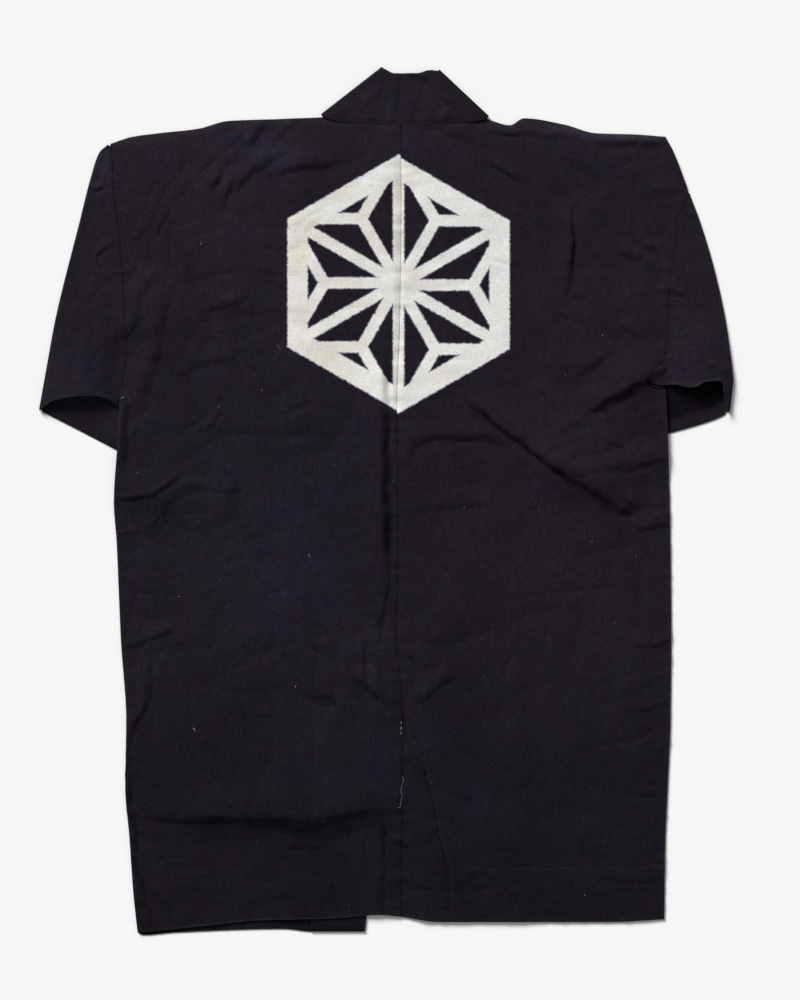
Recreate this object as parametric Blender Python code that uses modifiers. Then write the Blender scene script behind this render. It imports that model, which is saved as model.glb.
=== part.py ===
"""A short-sleeved happi coat in indigo cotton, laid flat on its front with its back up.

The coat is cut the traditional way, from lengths of narrow cloth. Each body panel is one length
that runs from the back hem over the shoulder to the front hem, each sleeve is one folded piece,
and one band, folded double, goes round the neck and down both front edges.

Frame: the coat lies on z = 0, its collar points to +Y, and its back faces +Z.
The tables are in millimetres, and each finished mesh is scaled to metres.
"""

import math

import bmesh
import bpy
import numpy as np

METRE = 0.001  # one millimetre of the tables, in Blender's metres

# Cloth ------------------------------------------------------------------------------------
CLOTH = 1.2  # wall of one layer of cotton
BAND = 2.4  # collar band: the cloth is double
GAP = 0.3  # between pieces at a seam, and between layers that lie on each other
ROLL = CLOTH + GAP / 2  # how far a flat fold's round edge reaches past its cloth
FLOAT = 1.0  # air under the back layer, away from its edges
NECK_SAG = 1.8  # how far the band sinks between the two front bands
MOUTH = 12.0  # how far a cuff's upper layer stands off the lower one
COTTON_ROUGHNESS = 0.9
EDGE_RISE = 40.0  # how far in from the coat's edges the air under the back is full

# Grid -------------------------------------------------------------------------------------
CELL = 25.0  # longest step along a panel
SIDE_COLUMNS = 12  # side edge to neck corner
NECK_COLUMNS = 5  # neck corner to centre back
SLEEVE_COLUMNS = 8
CUFF_ROWS = 3  # rows of a sleeve past where its inner edge goes under the body
TUCK_COLUMNS = 4  # columns of its corner under the body
SLEEVE_SHARE = 0.85  # how far down its outer fold those rows start
FRONT_SKIP = 4  # the flat lower fronts keep one row in so many
ROLL_STEPS = 4  # faces round a folded edge
BAND_COLUMNS = 3
NECK_STEPS = 10  # rows of the band behind the neck

# Where one layer's lift over another fades out --------------------------------------------------
LIFT_REACH = 2.1 * CELL  # round a sleeve corner tucked under the body
BAND_REACH = 1.9 * CELL  # outside a front band's seam
SAG_INSET = 0.9 * CELL  # inside a front band's free edge

# Cuffs ------------------------------------------------------------------------------------
CUFF_OPENS = 0.45  # how far down a sleeve its two layers start to part
FOLD_OPENS = 0.5  # how far down its outer fold starts to stand up
FOLD_RISE = 1.6  # how quickly the upper layer climbs to that fold

# Collar -----------------------------------------------------------------------------------
TIP_INSET = 2.5  # its slanting folds' round edges reach this much further
CORNER_CLEAR = 1.5  # its front bands start this far above the panels' corners
SLANT_RUN = 120.0  # length over which a band's slanting top straightens
SLANT_ROWS = 110.0  # how far down its rows keep meeting that stretch evenly
SAG_RISE = 20.0  # how quickly the part behind the neck sinks from its folds

# Outlines: one row for each station, (y, x) down an edge or (x, y) along one ------------------
# Centre back seam, from the neck to the hem.
CENTRE_BACK = ((426, 14), (354, 15), (191, 13), (109, 10), (-76, 11), (-138, 9), (-245, 16), (-473, 15))

LEFT = {
    # armhole seam, underarm (167), where the sleeve goes under the body (115), side seam, hem
    "side": (
        (406, -315),
        (354, -312),
        (296, -305),
        (167, -297),
        (140, -301),
        (115, -304),
        (61, -307),
        (-3, -311),
        (-45, -308),
        (-159, -303),
        (-250, -297),
        (-323, -298),
        (-387, -293),
        (-444, -289),
        (-491, -284),
    ),
    "tuck": 115,
    "row_stops": (-491, 61, 115, 167, 406),
    # (x, y) from the shoulder corner to the neck corner, then along the neck seam
    "top": ((-315, 406), (-290, 414), (-260, 418), (-216, 423), (-181, 432), (-127, 434), (-74, 436)),
    "hem_back": ((-284, -491), (-215, -484), (-144, -477), (-66, -475), (-11, -471), (15, -473)),
    "hem_front": ((-284, -491), (-278, -494), (-241, -491), (-118, -487), (-87, -490), (-26, -490)),
    "neck_corner": (-74, 436),
    # (y, x) of the front edge of the panel, and of the band's free edge
    "band_seam": ((436, -74), (340, -80), (100, -85), (-490, -87)),
    "band_free": ((494, -5), (420, -9), (300, -9), (50, -3), (-100, 0), (-250, -5), (-380, -14), (-490, -26)),
    # sleeve: (y, x) down its outer fold, its cuff's upper and lower edges as (x, y), its tucked corner
    "sleeve_fold": ((400, -324), (370, -337), (315, -351), (206, -378), (151, -388), (103, -396.5)),
    "cuff_upper": ((-396.5, 103), (-378, 114), (-357, 118), (-334, 119), (-317, 115), (-303, 106)),
    "cuff_lower": ((-396.5, 103), (-355, 82), (-309, 58)),
    "tucked_corner": (-214, 10),
    "corner_blunt": (5, 5),
    "cuff_round": 1.2,  # how much further its fold stands up at the cuff
    "outward": -1,
}

RIGHT = {
    "side": (
        (414, 315),
        (400, 323),
        (370, 335),
        (350, 341),
        (336, 338),
        (324, 330),
        (295, 327),
        (253, 321),
        (189, 318),
        (163, 315),
        (147, 302),
        (133, 293),
        (126, 315),
        (77, 318),
        (-49, 321),
        (-159, 322),
        (-250, 321),
        (-323, 318),
        (-396, 315),
        (-476, 314),
    ),
    "tuck": 133,
    "row_stops": (-476, 76, 126, 133, 147, 163, 324, 336, 350, 414),
    "top": ((113, 434), (139, 427), (155, 435), (200, 428), (237, 418), (282, 416.5), (315, 414)),
    "hem_back": ((15, -473), (60, -479), (151, -479), (253, -479), (314, -476)),
    "hem_front": ((69, -470), (151, -472), (253, -473), (314, -471)),
    "neck_corner": (113, 434),
    "band_seam": ((434, 113), (340, 115), (100, 117), (-300, 121), (-473, 129)),
    "band_free": ((491, 57), (420, 57), (100, 57), (-200, 56), (-330, 61), (-473, 69)),
    "sleeve_fold": ((350, 345), (315, 356), (261, 372), (206, 384), (151, 391), (111, 396.5)),
    "cuff_upper": ((396.5, 111), (388, 128), (377, 135), (356, 132), (342, 129), (318, 129), (294, 127)),
    "cuff_lower": ((396.5, 111), (388, 95), (356, 85), (318, 76)),
    "tucked_corner": (207, 46),
    "corner_blunt": (-5, 5),
    "cuff_round": 3.5,
    "outward": 1,
}

NECK_SEAM = ((-74, 436), (-45, 428.5), (14, 426), (60, 427), (99, 431), (113, 434))
COLLAR_TOP = ((-5, 494), (8, 488.5), (33, 488.5), (48, 492), (57, 491))

# Main folds of the back: start, bend and end, height, and width on its left and on its right,
# looking from start to end.
#       start         bend          end           height left  right
FOLDS = (
    ((-5, 300), (4, 40), (-2, -150), 1.6, 40, 12),  # step down beside the centre seam
    ((100, 102), (180, 40), (290, -18), 7.0, 34, 16),  # long diagonal below the right underarm
    ((315, 158), (286, 126), (250, 118), 5.0, 26, 20),  # right underarm
    ((-258, -361), (-110, -366), (-2, -348), 6.0, 40, 16),  # ridge across the left skirt
    ((230, 350), (208, 320), (213, 262), 3.5, 24, 12),  # right shoulder blade
    ((-248, 262), (-282, 220), (-286, 178), 5.0, 26, 18),  # left armpit, outer
    ((-224, 248), (-256, 206), (-270, 118), 6.0, 30, 18),  # left armpit, inner
    ((-152, 232), (-180, 222), (-206, 214), 3.0, 24, 14),  # left chest
    ((-304, -3), (-250, 12), (-234, 26), 4.0, 24, 14),  # left waist
)


def smooth_line(table, at):
    """The table's second column where its first is `at`, along a curve with no overshoot."""
    rows = np.array(sorted(table), float)
    key, value = rows[:, 0], rows[:, 1]
    step = np.diff(key)
    slope = np.diff(value) / step
    lean = np.zeros(len(key))
    lean[0], lean[-1] = slope[0], slope[-1]
    turns = slope[:-1] * slope[1:] > 0
    inner = np.zeros(len(slope) - 1)
    inner[turns] = 2 * slope[:-1][turns] * slope[1:][turns] / (slope[:-1] + slope[1:])[turns]
    lean[1:-1] = inner
    at = np.clip(at, key[0], key[-1])
    cell = np.clip(np.searchsorted(key, at, side="right") - 1, 0, len(step) - 1)
    t = (at - key[cell]) / step[cell]
    return (
        value[cell] * (1 + 2 * t) * (1 - t) ** 2
        + value[cell + 1] * t * t * (3 - 2 * t)
        + step[cell] * (lean[cell] * t * (1 - t) ** 2 - lean[cell + 1] * t * t * (1 - t))
    )


def ease(t):
    """0 to 1, level at both ends."""
    t = np.clip(t, 0, 1)
    return t * t * (3 - 2 * t)


def fold_height(x, y, start, bend, end, height, left, right):
    """Height of one fold: a rounded ridge along a bent line, wider on one side, fading at its ends."""
    t = np.linspace(0, 1, 13)[:, None]
    line = (1 - t) ** 2 * np.array(start) + 2 * t * (1 - t) * np.array(bend) + t * t * np.array(end)
    spot = np.stack([x, y], -1)[..., None, :]
    run = np.diff(line, axis=0)
    share = ((spot - line[:-1]) * run).sum(-1) / (run * run).sum(-1)
    foot = line[:-1] + np.clip(share, 0, 1)[..., None] * run
    away = spot - foot
    gap = np.hypot(away[..., 0], away[..., 1])
    near = gap.argmin(-1)[..., None]
    side = np.take_along_axis(run[:, 0] * away[..., 1] - run[:, 1] * away[..., 0], near, -1)[..., 0]
    place = (near[..., 0] + np.take_along_axis(np.clip(share, 0, 1), near, -1)[..., 0]) / len(run)
    width = np.where(side > 0, left, right)
    fade = np.sin(math.pi * np.clip(place, 0.02, 0.98)) ** 0.7
    return height * fade * np.exp(-((np.take_along_axis(gap, near, -1)[..., 0] / width) ** 2))


def folds(x, y):
    """All the main folds of the back layer, one on another."""
    return sum(fold_height(x, y, *row) for row in FOLDS)


def tuck_lift(x, y, half):
    """How far a body half is lifted by the corner of the sleeve that lies under it."""
    entry = (smooth_line(half["side"], half["tuck"]), half["tuck"])
    under = [entry, half["tucked_corner"], half["cuff_lower"][-1]]
    if half["outward"] > 0:
        under.reverse()
    inside = np.ones(np.shape(x), bool)
    away = np.full(np.shape(x), np.inf)
    for (ax, ay), (bx, by) in zip(under, under[1:] + under[:1]):
        run_x, run_y = bx - ax, by - ay
        share = np.clip(((x - ax) * run_x + (y - ay) * run_y) / (run_x**2 + run_y**2), 0, 1)
        away = np.minimum(away, np.hypot(x - ax - share * run_x, y - ay - share * run_y))
        inside &= run_x * (y - ay) - run_y * (x - ax) <= 0
    layers = 2 * CLOTH + 2 * GAP
    return layers * ease((LIFT_REACH - np.where(inside, 0, away)) / CELL)


def front_floor(x, y):
    """Underside of the front panels: on the floor but where a sleeve lies below."""
    return tuck_lift(x, y, LEFT) + tuck_lift(x, y, RIGHT)


def back_top(x, y):
    """Upper side of the back layer, over the fronts, the collar's bands and the gap between them."""
    left_seam = smooth_line(LEFT["band_seam"], y)
    right_seam = smooth_line(RIGHT["band_seam"], y)
    left_free = smooth_line(LEFT["band_free"], y)
    right_free = smooth_line(RIGHT["band_free"], y)
    over_bands = ease((x - left_seam + BAND_REACH) / CELL) * ease((right_seam - x + BAND_REACH) / CELL)
    between = ease((x - left_free - SAG_INSET) / CELL) * ease((right_free - x - SAG_INSET) / CELL)
    across = ease((x - smooth_line(LEFT["side"], y)) / EDGE_RISE)
    across = across * ease((smooth_line(RIGHT["side"], y) - x) / EDGE_RISE)
    along = ease((CENTRE_BACK[0][0] - y) / EDGE_RISE) * ease((y - CENTRE_BACK[-1][0]) / EDGE_RISE)
    layers = front_floor(x, y) + 2 * CLOTH + GAP
    lift = (BAND - CLOTH) * over_bands - CLOTH * between
    return layers + lift + FLOAT * across * along + folds(x, y)


def stations(values, longest):
    """The values, with equal steps no longer than `longest` between each and the next."""
    out = [float(values[0])]
    for a, b in zip(values, values[1:]):
        steps = max(1, math.ceil(abs(b - a) / longest))
        out += [a + (b - a) * k / steps for k in range(1, steps + 1)]
    return np.array(out)


def skin(name, rows):
    """A mesh from rows of points. A row has None in each column where the cloth is cut away.

    Each cell is split along the diagonal that climbs less, so that slanting folds stay straight.
    """
    mesh = bmesh.new()
    made = [[point if point is None else mesh.verts.new(point) for point in row] for row in rows]
    for a, b in zip(made, made[1:]):
        for k in range(len(a) - 1):
            corners = [a[k], a[k + 1], b[k + 1], b[k]]
            if None in corners:
                continue
            heights = [corner.co.z for corner in corners]
            if abs(heights[0] - heights[2]) > abs(heights[1] - heights[3]):
                corners = corners[1:] + corners[:1]
            mesh.faces.new((corners[0], corners[1], corners[2]))
            mesh.faces.new((corners[0], corners[2], corners[3]))
    mesh.normal_update()
    highest = max(mesh.faces, key=lambda face: face.calc_center_median().z)
    if highest.normal.z < 0:
        bmesh.ops.reverse_faces(mesh, faces=mesh.faces)
    data = bpy.data.meshes.new(name)
    mesh.to_mesh(data)
    mesh.free()
    return data


def arc(a, b, outward, reach):
    """Points from a down to b round a folded edge, that bulge by `reach` along `outward`."""
    a, b, outward = np.array(a), np.array(b), np.array(outward)
    middle, half = (a + b) / 2, (a - b) / 2
    points = []
    for k in range(ROLL_STEPS + 1):
        turn = math.pi * k / ROLL_STEPS
        points.append(middle + half * math.cos(turn) + outward * reach * math.sin(turn))
    return points


def side_rows(half):
    """y of each row at the side edge, from the hem up to where the shoulder's fold starts."""
    stops = half["row_stops"]
    return stations((*stops[:-1], stops[-1] - ROLL), CELL)


def body_rows(half):
    """The rows of points of one body panel: up the back, round the shoulder and down the front."""
    sign = half["outward"]
    side_y = side_rows(half)
    up = (side_y - side_y[0]) / (side_y[-1] - side_y[0])
    side_x = smooth_line(half["side"], side_y) - sign * GAP / 2
    centre_hem = smooth_line(half["hem_back"], CENTRE_BACK[-1][1])
    centre_y = centre_hem + up * (CENTRE_BACK[0][0] - GAP / 2 - centre_hem)
    centre_x = smooth_line(CENTRE_BACK, centre_y) + sign * GAP / 2
    corner_x = half["neck_corner"][0] + sign * GAP / 2
    neck = (corner_x - side_x[-1]) / (centre_x[-1] - side_x[-1])
    across = np.concatenate([
        np.linspace(0, neck, SIDE_COLUMNS + 1),
        np.linspace(neck, 1, NECK_COLUMNS + 1)[1:],
    ])
    x = side_x[:, None] + (centre_x - side_x)[:, None] * across
    to_neck = across <= neck + 1e-9
    top = np.where(
        to_neck,
        smooth_line(half["top"], x[-1]) - ROLL,
        smooth_line(NECK_SEAM, x[-1]) - GAP / 2,
    )
    hem = smooth_line(half["hem_back"], x[0])
    y = hem + (top - hem) * up[:, None]
    back = np.stack([x, y, back_top(x, y)], -1)

    count = SIDE_COLUMNS + 1
    front_top = top[:count]
    seam_y = half["hem_front"][0 if sign > 0 else -1][1] * (1 - up) + front_top[-1] * up
    seam_x = smooth_line(half["band_seam"], seam_y) + sign * GAP / 2
    share = across[:count] / neck
    fx = side_x[:, None] + (seam_x - side_x)[:, None] * share
    front_hem = smooth_line(half["hem_front"], fx[0])
    fy = front_hem + (front_top - front_hem) * up[:, None]
    fx[-1], fy[-1] = x[-1, :count], y[-1, :count]
    front = np.stack([fx, fy, front_floor(fx, fy)], -1)

    cut_away = [None] * NECK_COLUMNS
    rows = [list(row) for row in back]
    bends = [arc(a, b, (0, 1, 0), ROLL) for a, b in zip(back[-1, :count], front[-1])]
    rows += [[bend[k] for bend in bends] + cut_away for k in range(1, ROLL_STEPS)]
    flat_below = side_y < half["tucked_corner"][1] - LIFT_REACH - CELL
    kept = [k for k in range(len(side_y)) if not flat_below[k] or k % FRONT_SKIP == 0]
    rows += [list(front[k]) + cut_away for k in reversed(kept)]
    return rows


def sleeve_edge(half):
    """Rows of a sleeve's inner edge: down the armhole to where it goes under the body."""
    side_y = side_rows(half)[::-1]
    first = half["sleeve_fold"][0][0]
    side_y = side_y[(side_y <= first) & (side_y >= half["tuck"] - 1e-6)]
    return np.stack([smooth_line(half["side"], side_y) + half["outward"] * GAP / 2, side_y], -1)


def sleeve_layers(half, down, outer, inner):
    """Points across a sleeve's upper layer and its lower one, in plan, down to the cuff's two edges."""
    across = np.linspace(0, 1, SLEEVE_COLUMNS + 1)[:, None]
    flat = inner[:, None] + (outer[: len(inner), None] - inner[:, None]) * across
    layers = []
    for cuff in (half["cuff_upper"], half["cuff_lower"]):
        cuff_x = cuff[-1][0] + (outer[-1][0] - cuff[-1][0]) * across[:, 0]
        edge = np.stack([cuff_x, smooth_line(cuff, cuff_x)], -1)
        edge[-1] = outer[-1]
        reach = (down[len(inner) :, None, None] - SLEEVE_SHARE) / (1 - SLEEVE_SHARE)
        layers.append(np.concatenate([flat, flat[-1] + (edge - flat[-1]) * reach]))
    return layers


def sleeve_rows(half):
    """The rows of one sleeve: across its upper layer, round its outer fold and back across the lower.

    The last rows are longer: at both ends they run on under the body, to the underarm corner.
    """
    sign = half["outward"]
    inner = sleeve_edge(half)
    down = (inner[0, 1] - inner[:, 1]) / (inner[0, 1] - inner[-1, 1]) * SLEEVE_SHARE
    down = np.concatenate([down, np.linspace(SLEEVE_SHARE, 1, CUFF_ROWS + 1)[1:]])
    roll = ROLL + half["cuff_round"] * ease((down - FOLD_OPENS) / (1 - FOLD_OPENS))
    top_y, tip_y = half["sleeve_fold"][0][0], half["sleeve_fold"][-1][0]
    outer_y = top_y + (tip_y - top_y) * down
    outer = np.stack([smooth_line(half["sleeve_fold"], outer_y) - sign * roll, outer_y], -1)
    upper, lower = sleeve_layers(half, down, outer, inner)

    x, y = upper[..., 0], upper[..., 1]
    beside = half["cuff_lower"][-1][0] + sign * CELL / 2
    opened = np.clip((x - beside) / (x[:, -1:] - beside), 0, 1)
    level = 2 * CLOTH + GAP
    rise = (2 * roll[:, None] - level) * ease(opened * FOLD_RISE)
    parted = ease((down[:, None] - CUFF_OPENS) / (1 - CUFF_OPENS))
    z = level + rise + MOUTH * parted * np.sin(math.pi * opened) ** 1.2

    rows = []
    for j, turned in enumerate(roll):
        top_row = [np.array(point) for point in zip(x[j], y[j], z[j])]
        low_row = [np.array([*point, 0.0]) for point in lower[j]]
        under_top, under_low = [None] * TUCK_COLUMNS, [None] * TUCK_COLUMNS
        tucked = (j - (len(roll) - 1 - CUFF_ROWS)) / CUFF_ROWS
        if tucked >= 0:
            corner = np.array(half["tucked_corner"]) + np.array(half["corner_blunt"]) * (0.5 - tucked)
            shares = [1 - k / TUCK_COLUMNS for k in range(TUCK_COLUMNS)]
            under_top = [top_row[0] + (np.array([*corner, level]) - top_row[0]) * k for k in shares]
            under_low = [low_row[0] + (np.array([*corner, 0.0]) - low_row[0]) * k for k in shares]
        bend = arc(top_row[-1], low_row[-1], (sign, 0, 0), turned)
        rows.append(under_top + top_row + bend[1:-1] + low_row[::-1] + under_low[::-1])
    return rows


def front_band(half):
    """The rows of one front band from the neck to the hem, level by the time they leave the neck."""
    across = np.linspace(0, 1, BAND_COLUMNS + 1)[:, None]
    corner_y = half["neck_corner"][1] + CORNER_CLEAR
    tip_y = half["band_free"][0][0] - TIP_INSET
    hem_y = smooth_line(half["hem_front"], half["band_free"][-1][1])
    seam_y = stations((corner_y, corner_y - SLANT_ROWS, hem_y), 2 * CELL)
    free_y = seam_y + (tip_y - corner_y) * (1 - ease((corner_y - seam_y) / SLANT_RUN))
    seam_x = smooth_line(half["band_seam"], seam_y) - half["outward"] * GAP / 2
    free_x = smooth_line(half["band_free"], free_y)
    level = np.zeros(len(seam_y))
    seam, free = np.stack([seam_x, seam_y, level], -1), np.stack([free_x, free_y, level], -1)
    return list(seam[:, None] + (free - seam)[:, None] * across)


def neck_band(left_front, right_front):
    """The rows of the band behind the neck, in a fan, over the two front bands and sunk between them."""
    across = np.linspace(0, 1, BAND_COLUMNS + 1)[:, None]
    rows = []
    for share in np.linspace(0, 1, NECK_STEPS + 1):
        seam_x = LEFT["neck_corner"][0] + share * (RIGHT["neck_corner"][0] - LEFT["neck_corner"][0])
        free_x = COLLAR_TOP[0][0] + share * (COLLAR_TOP[-1][0] - COLLAR_TOP[0][0])
        seam = np.array([seam_x, smooth_line(NECK_SEAM, seam_x) + GAP / 2, 0])
        free = np.array([free_x, smooth_line(COLLAR_TOP, free_x) - TIP_INSET, 0])
        rows.append(seam + (free - seam) * across)
    rows[0], rows[-1] = left_front[0].copy(), right_front[0].copy()
    left_tip, right_tip = COLLAR_TOP[0][0] + 2 * TIP_INSET, COLLAR_TOP[-1][0] - 2 * TIP_INSET
    for row in rows:
        clear = ease((row[:, 0] - left_tip) / SAG_RISE) * ease((right_tip - row[:, 0]) / SAG_RISE)
        row[:, 2] = 2 * BAND + GAP - NECK_SAG * clear
    return rows


def slanting_fold(upper, lower, sign):
    """The rows round the folded edge between the part behind the neck and a front band."""
    run = lower[-1] - lower[0]
    outward = np.array([sign * abs(run[1]), abs(run[0]), 0]) / math.hypot(run[0], run[1])
    bends = [arc(a, b, outward, BAND + GAP / 2) for a, b in zip(upper, lower)]
    return [np.array([bend[k] for bend in bends]) for k in range(1, ROLL_STEPS)]


def collar_rows():
    """The rows across the collar band: up the left front, round the back of the neck, down the right."""
    left_front, right_front = front_band(LEFT), front_band(RIGHT)
    behind = neck_band(left_front, right_front)
    left_fold = slanting_fold(behind[0], left_front[0], -1)
    right_fold = slanting_fold(behind[-1], right_front[0], 1)
    return left_front[::-1] + left_fold[::-1] + behind + right_fold + right_front


def cotton(name, colour):
    """A plain woven cotton, dyed in indigo and matte."""
    material = bpy.data.materials.new(name)
    material.use_nodes = True
    shader = material.node_tree.nodes["Principled BSDF"]
    shader.inputs["Base Color"].default_value = (*colour, 1)
    shader.inputs["Roughness"].default_value = COTTON_ROUGHNESS
    shader.inputs["Metallic"].default_value = 0
    return material


def cloth_piece(name, rows, wall, material, collection):
    """A sewn piece: an open skin of its outer side, which Solidify gives its wall, inwards."""
    data = skin(name, rows)
    for vertex in data.vertices:
        vertex.co *= METRE
    piece = bpy.data.objects.new(name, data)
    collection.objects.link(piece)
    data.materials.append(material)
    data.shade_smooth()
    wall_maker = piece.modifiers.new("wall", "SOLIDIFY")
    wall_maker.thickness = wall * METRE
    wall_maker.offset = -1
    return piece


def main():
    for thing in list(bpy.data.objects):
        bpy.data.objects.remove(thing)
    coat = bpy.data.collections.new("happi_coat")
    bpy.context.scene.collection.children.link(coat)
    pieces = (
        # name, rows of points, wall, colour
        ("body_left", body_rows(LEFT), CLOTH, (0.014, 0.012, 0.018)),
        ("body_right", body_rows(RIGHT), CLOTH, (0.013, 0.010, 0.015)),
        ("sleeve_left", sleeve_rows(LEFT), CLOTH, (0.016, 0.013, 0.020)),
        ("sleeve_right", sleeve_rows(RIGHT), CLOTH, (0.015, 0.012, 0.018)),
        ("collar", collar_rows(), BAND, (0.018, 0.013, 0.020)),
    )
    for name, rows, wall, colour in pieces:
        cloth_piece(name, rows, wall, cotton(name, colour), coat)


main()
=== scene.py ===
# %% [markdown]
# # A happi coat, laid flat with its back up
#
# A happi is sewn from straight lengths of narrow cloth. Each half of the body is one length that
# runs from the back hem over the shoulder to the front hem, each sleeve is one folded piece, and a
# doubled band goes round the neck and down both fronts. So every piece here is a grid of points
# that follows the threads of the cloth, worked out from a few outlines, and never a sculpted blob.
#
# The imported model comes first. It holds the plain solids of the coat, which fix the place and size
# of every piece.

import math

import bpy
import numpy as np
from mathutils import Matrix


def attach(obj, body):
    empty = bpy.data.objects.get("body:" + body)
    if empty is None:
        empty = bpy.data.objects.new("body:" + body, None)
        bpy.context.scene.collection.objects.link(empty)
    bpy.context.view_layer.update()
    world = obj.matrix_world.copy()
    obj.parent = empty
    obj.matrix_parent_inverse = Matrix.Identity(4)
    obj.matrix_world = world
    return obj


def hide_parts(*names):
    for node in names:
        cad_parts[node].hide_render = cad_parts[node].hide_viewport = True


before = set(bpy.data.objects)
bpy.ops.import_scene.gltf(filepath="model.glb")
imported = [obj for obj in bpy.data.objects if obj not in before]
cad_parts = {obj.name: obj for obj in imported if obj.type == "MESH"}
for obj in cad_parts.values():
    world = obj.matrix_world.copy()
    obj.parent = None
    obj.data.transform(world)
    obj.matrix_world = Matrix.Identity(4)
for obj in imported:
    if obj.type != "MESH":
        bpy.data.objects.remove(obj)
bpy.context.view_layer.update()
print("nodes to dress:", sorted(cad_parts))

# %% [markdown]
# ## Sizes of the cloth
#
# The outlines are in millimetres, because that is how a tailor would measure them, and each mesh is
# scaled to metres when it is made. The layers of a coat that lies flat are stacked: the fronts are
# on the table, the collar's bands beside them, and the back on top. These are the same levels as in
# the solids, so the cloth made here lies where they do.

# %% Sizes
METRE = 0.001  # a millimetre of the outlines, in metres
CLOTH = 1.2  # one layer of cotton, with the air that it holds
BAND = 2.4  # the collar band, doubled
GAP = 0.3  # between pieces at a seam, in the solids
LAP = 0.4  # here the pieces are sewn together, so each reaches this far past the seam
LEAST_LIFT = 0.9  # the back never lies closer to the front than this
LEDGE = 0.25  # how much higher the piece on top lies at a seam
ROLL = CLOTH + GAP / 2  # how far a flat fold's round edge reaches past its cloth
FLOAT = 1.4  # air under the back layer, away from its edges
NECK_SAG = 1.8  # how far the band sinks between the two front bands
MOUTH = 12.0  # how far a cuff's upper layer stands off the lower one
EDGE_RISE = 40.0  # how far in from the edges the air under the back is full
LIFT_CELL = 25.0  # run over which one layer's lift over another fades
LIFT_REACH = 2.1 * LIFT_CELL  # how far from a tucked corner the body is still lifted
BAND_REACH = 1.9 * LIFT_CELL  # and from a collar band
SAG_INSET = 0.9 * LIFT_CELL  # how far inside the two bands the back starts to sag
THREAD_STEP = 2.0  # distance between grid points on what shows
HIDDEN_STEP = 9.0  # and on the fronts, which lie on the table
SHELL = 0.8  # wall of the cloth as it is drawn, inside the solid's wall
EDGE_ROUND = 0.3  # how much its edges are rounded
print(f"grid of {THREAD_STEP} mm, cloth {SHELL} mm thick")

# %% [markdown]
# ## Outlines
#
# One short table for each edge gives its turning points, and a smooth curve joins them. The two
# halves have the same cut, but each lies a little differently, so each has its own tables.

# %% Outlines of the coat as it lies
# (y, x) down the centre seam
CENTRE_BACK = (
    (426, 14), (354, 15), (191, 13), (109, 10), (-76, 11), (-138, 9), (-245, 16), (-473, 15),
)

LEFT = {
    # (y, x) down the armhole seam, under the arm and down the side seam
    "side": (
        (406, -315), (354, -312), (296, -305), (167, -297), (140, -301), (115, -304), (61, -307),
        (-3, -311), (-45, -308), (-159, -303), (-250, -297), (-323, -298), (-387, -293),
        (-444, -289), (-491, -284),
    ),
    "tuck": 115,  # y where the sleeve goes under the body
    "row_stops": (-491, 61, 115, 167, 406),  # y at which the grid has a row
    # (x, y) along the shoulder, the back hem and the front hem
    "top": ((-315, 406), (-290, 414), (-260, 418), (-216, 423), (-181, 432), (-127, 434), (-74, 436)),
    "hem_back": ((-284, -491), (-215, -484), (-144, -477), (-66, -475), (-11, -471), (15, -473)),
    "hem_front": ((-284, -491), (-278, -494), (-241, -491), (-118, -487), (-87, -490), (-26, -490)),
    "neck_corner": (-74, 436),  # (x, y) where the shoulder meets the neck
    # (y, x) down the front band's seam and its free edge
    "band_seam": ((436, -74), (340, -80), (100, -85), (-490, -87)),
    "band_free": (
        (494, -5), (420, -9), (300, -9), (50, -3), (-100, 0), (-250, -5), (-380, -14), (-490, -26),
    ),
    # (y, x) down the sleeve's outer fold, then (x, y) along the cuff's two edges
    "sleeve_fold": (
        (404.5, -319), (396, -328), (370, -337), (315, -351), (206, -378), (151, -388), (103, -396.5),
    ),
    "cuff_upper": ((-396.5, 103), (-378, 114), (-357, 118), (-334, 119), (-317, 115), (-303, 106)),
    "cuff_lower": ((-396.5, 103), (-355, 82), (-309, 58)),
    "tucked_corner": (-214, 10),  # (x, y) of the underarm corner, below the body
    "corner_blunt": (5, 5),  # and how far apart the two ends of its blunt tip are
    "cuff_round": 1.2,  # how much rounder the fold is at the cuff than at the shoulder
    "mouth_from": -303,  # x where the cuff's mouth begins
    "cuff_painted_shade": -0.2,  # painted shade inside the cuff, under its upper layer; below 0 it is painted light
    "seam_painted_shade": 1.5,  # painted shade in the line of the armhole seam: how dark it is
    "over": 1,  # 1 if the sleeve lies over the body at the armhole seam, -1 if it lies under
    "outward": -1,  # the sign of x on this side
}

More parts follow.
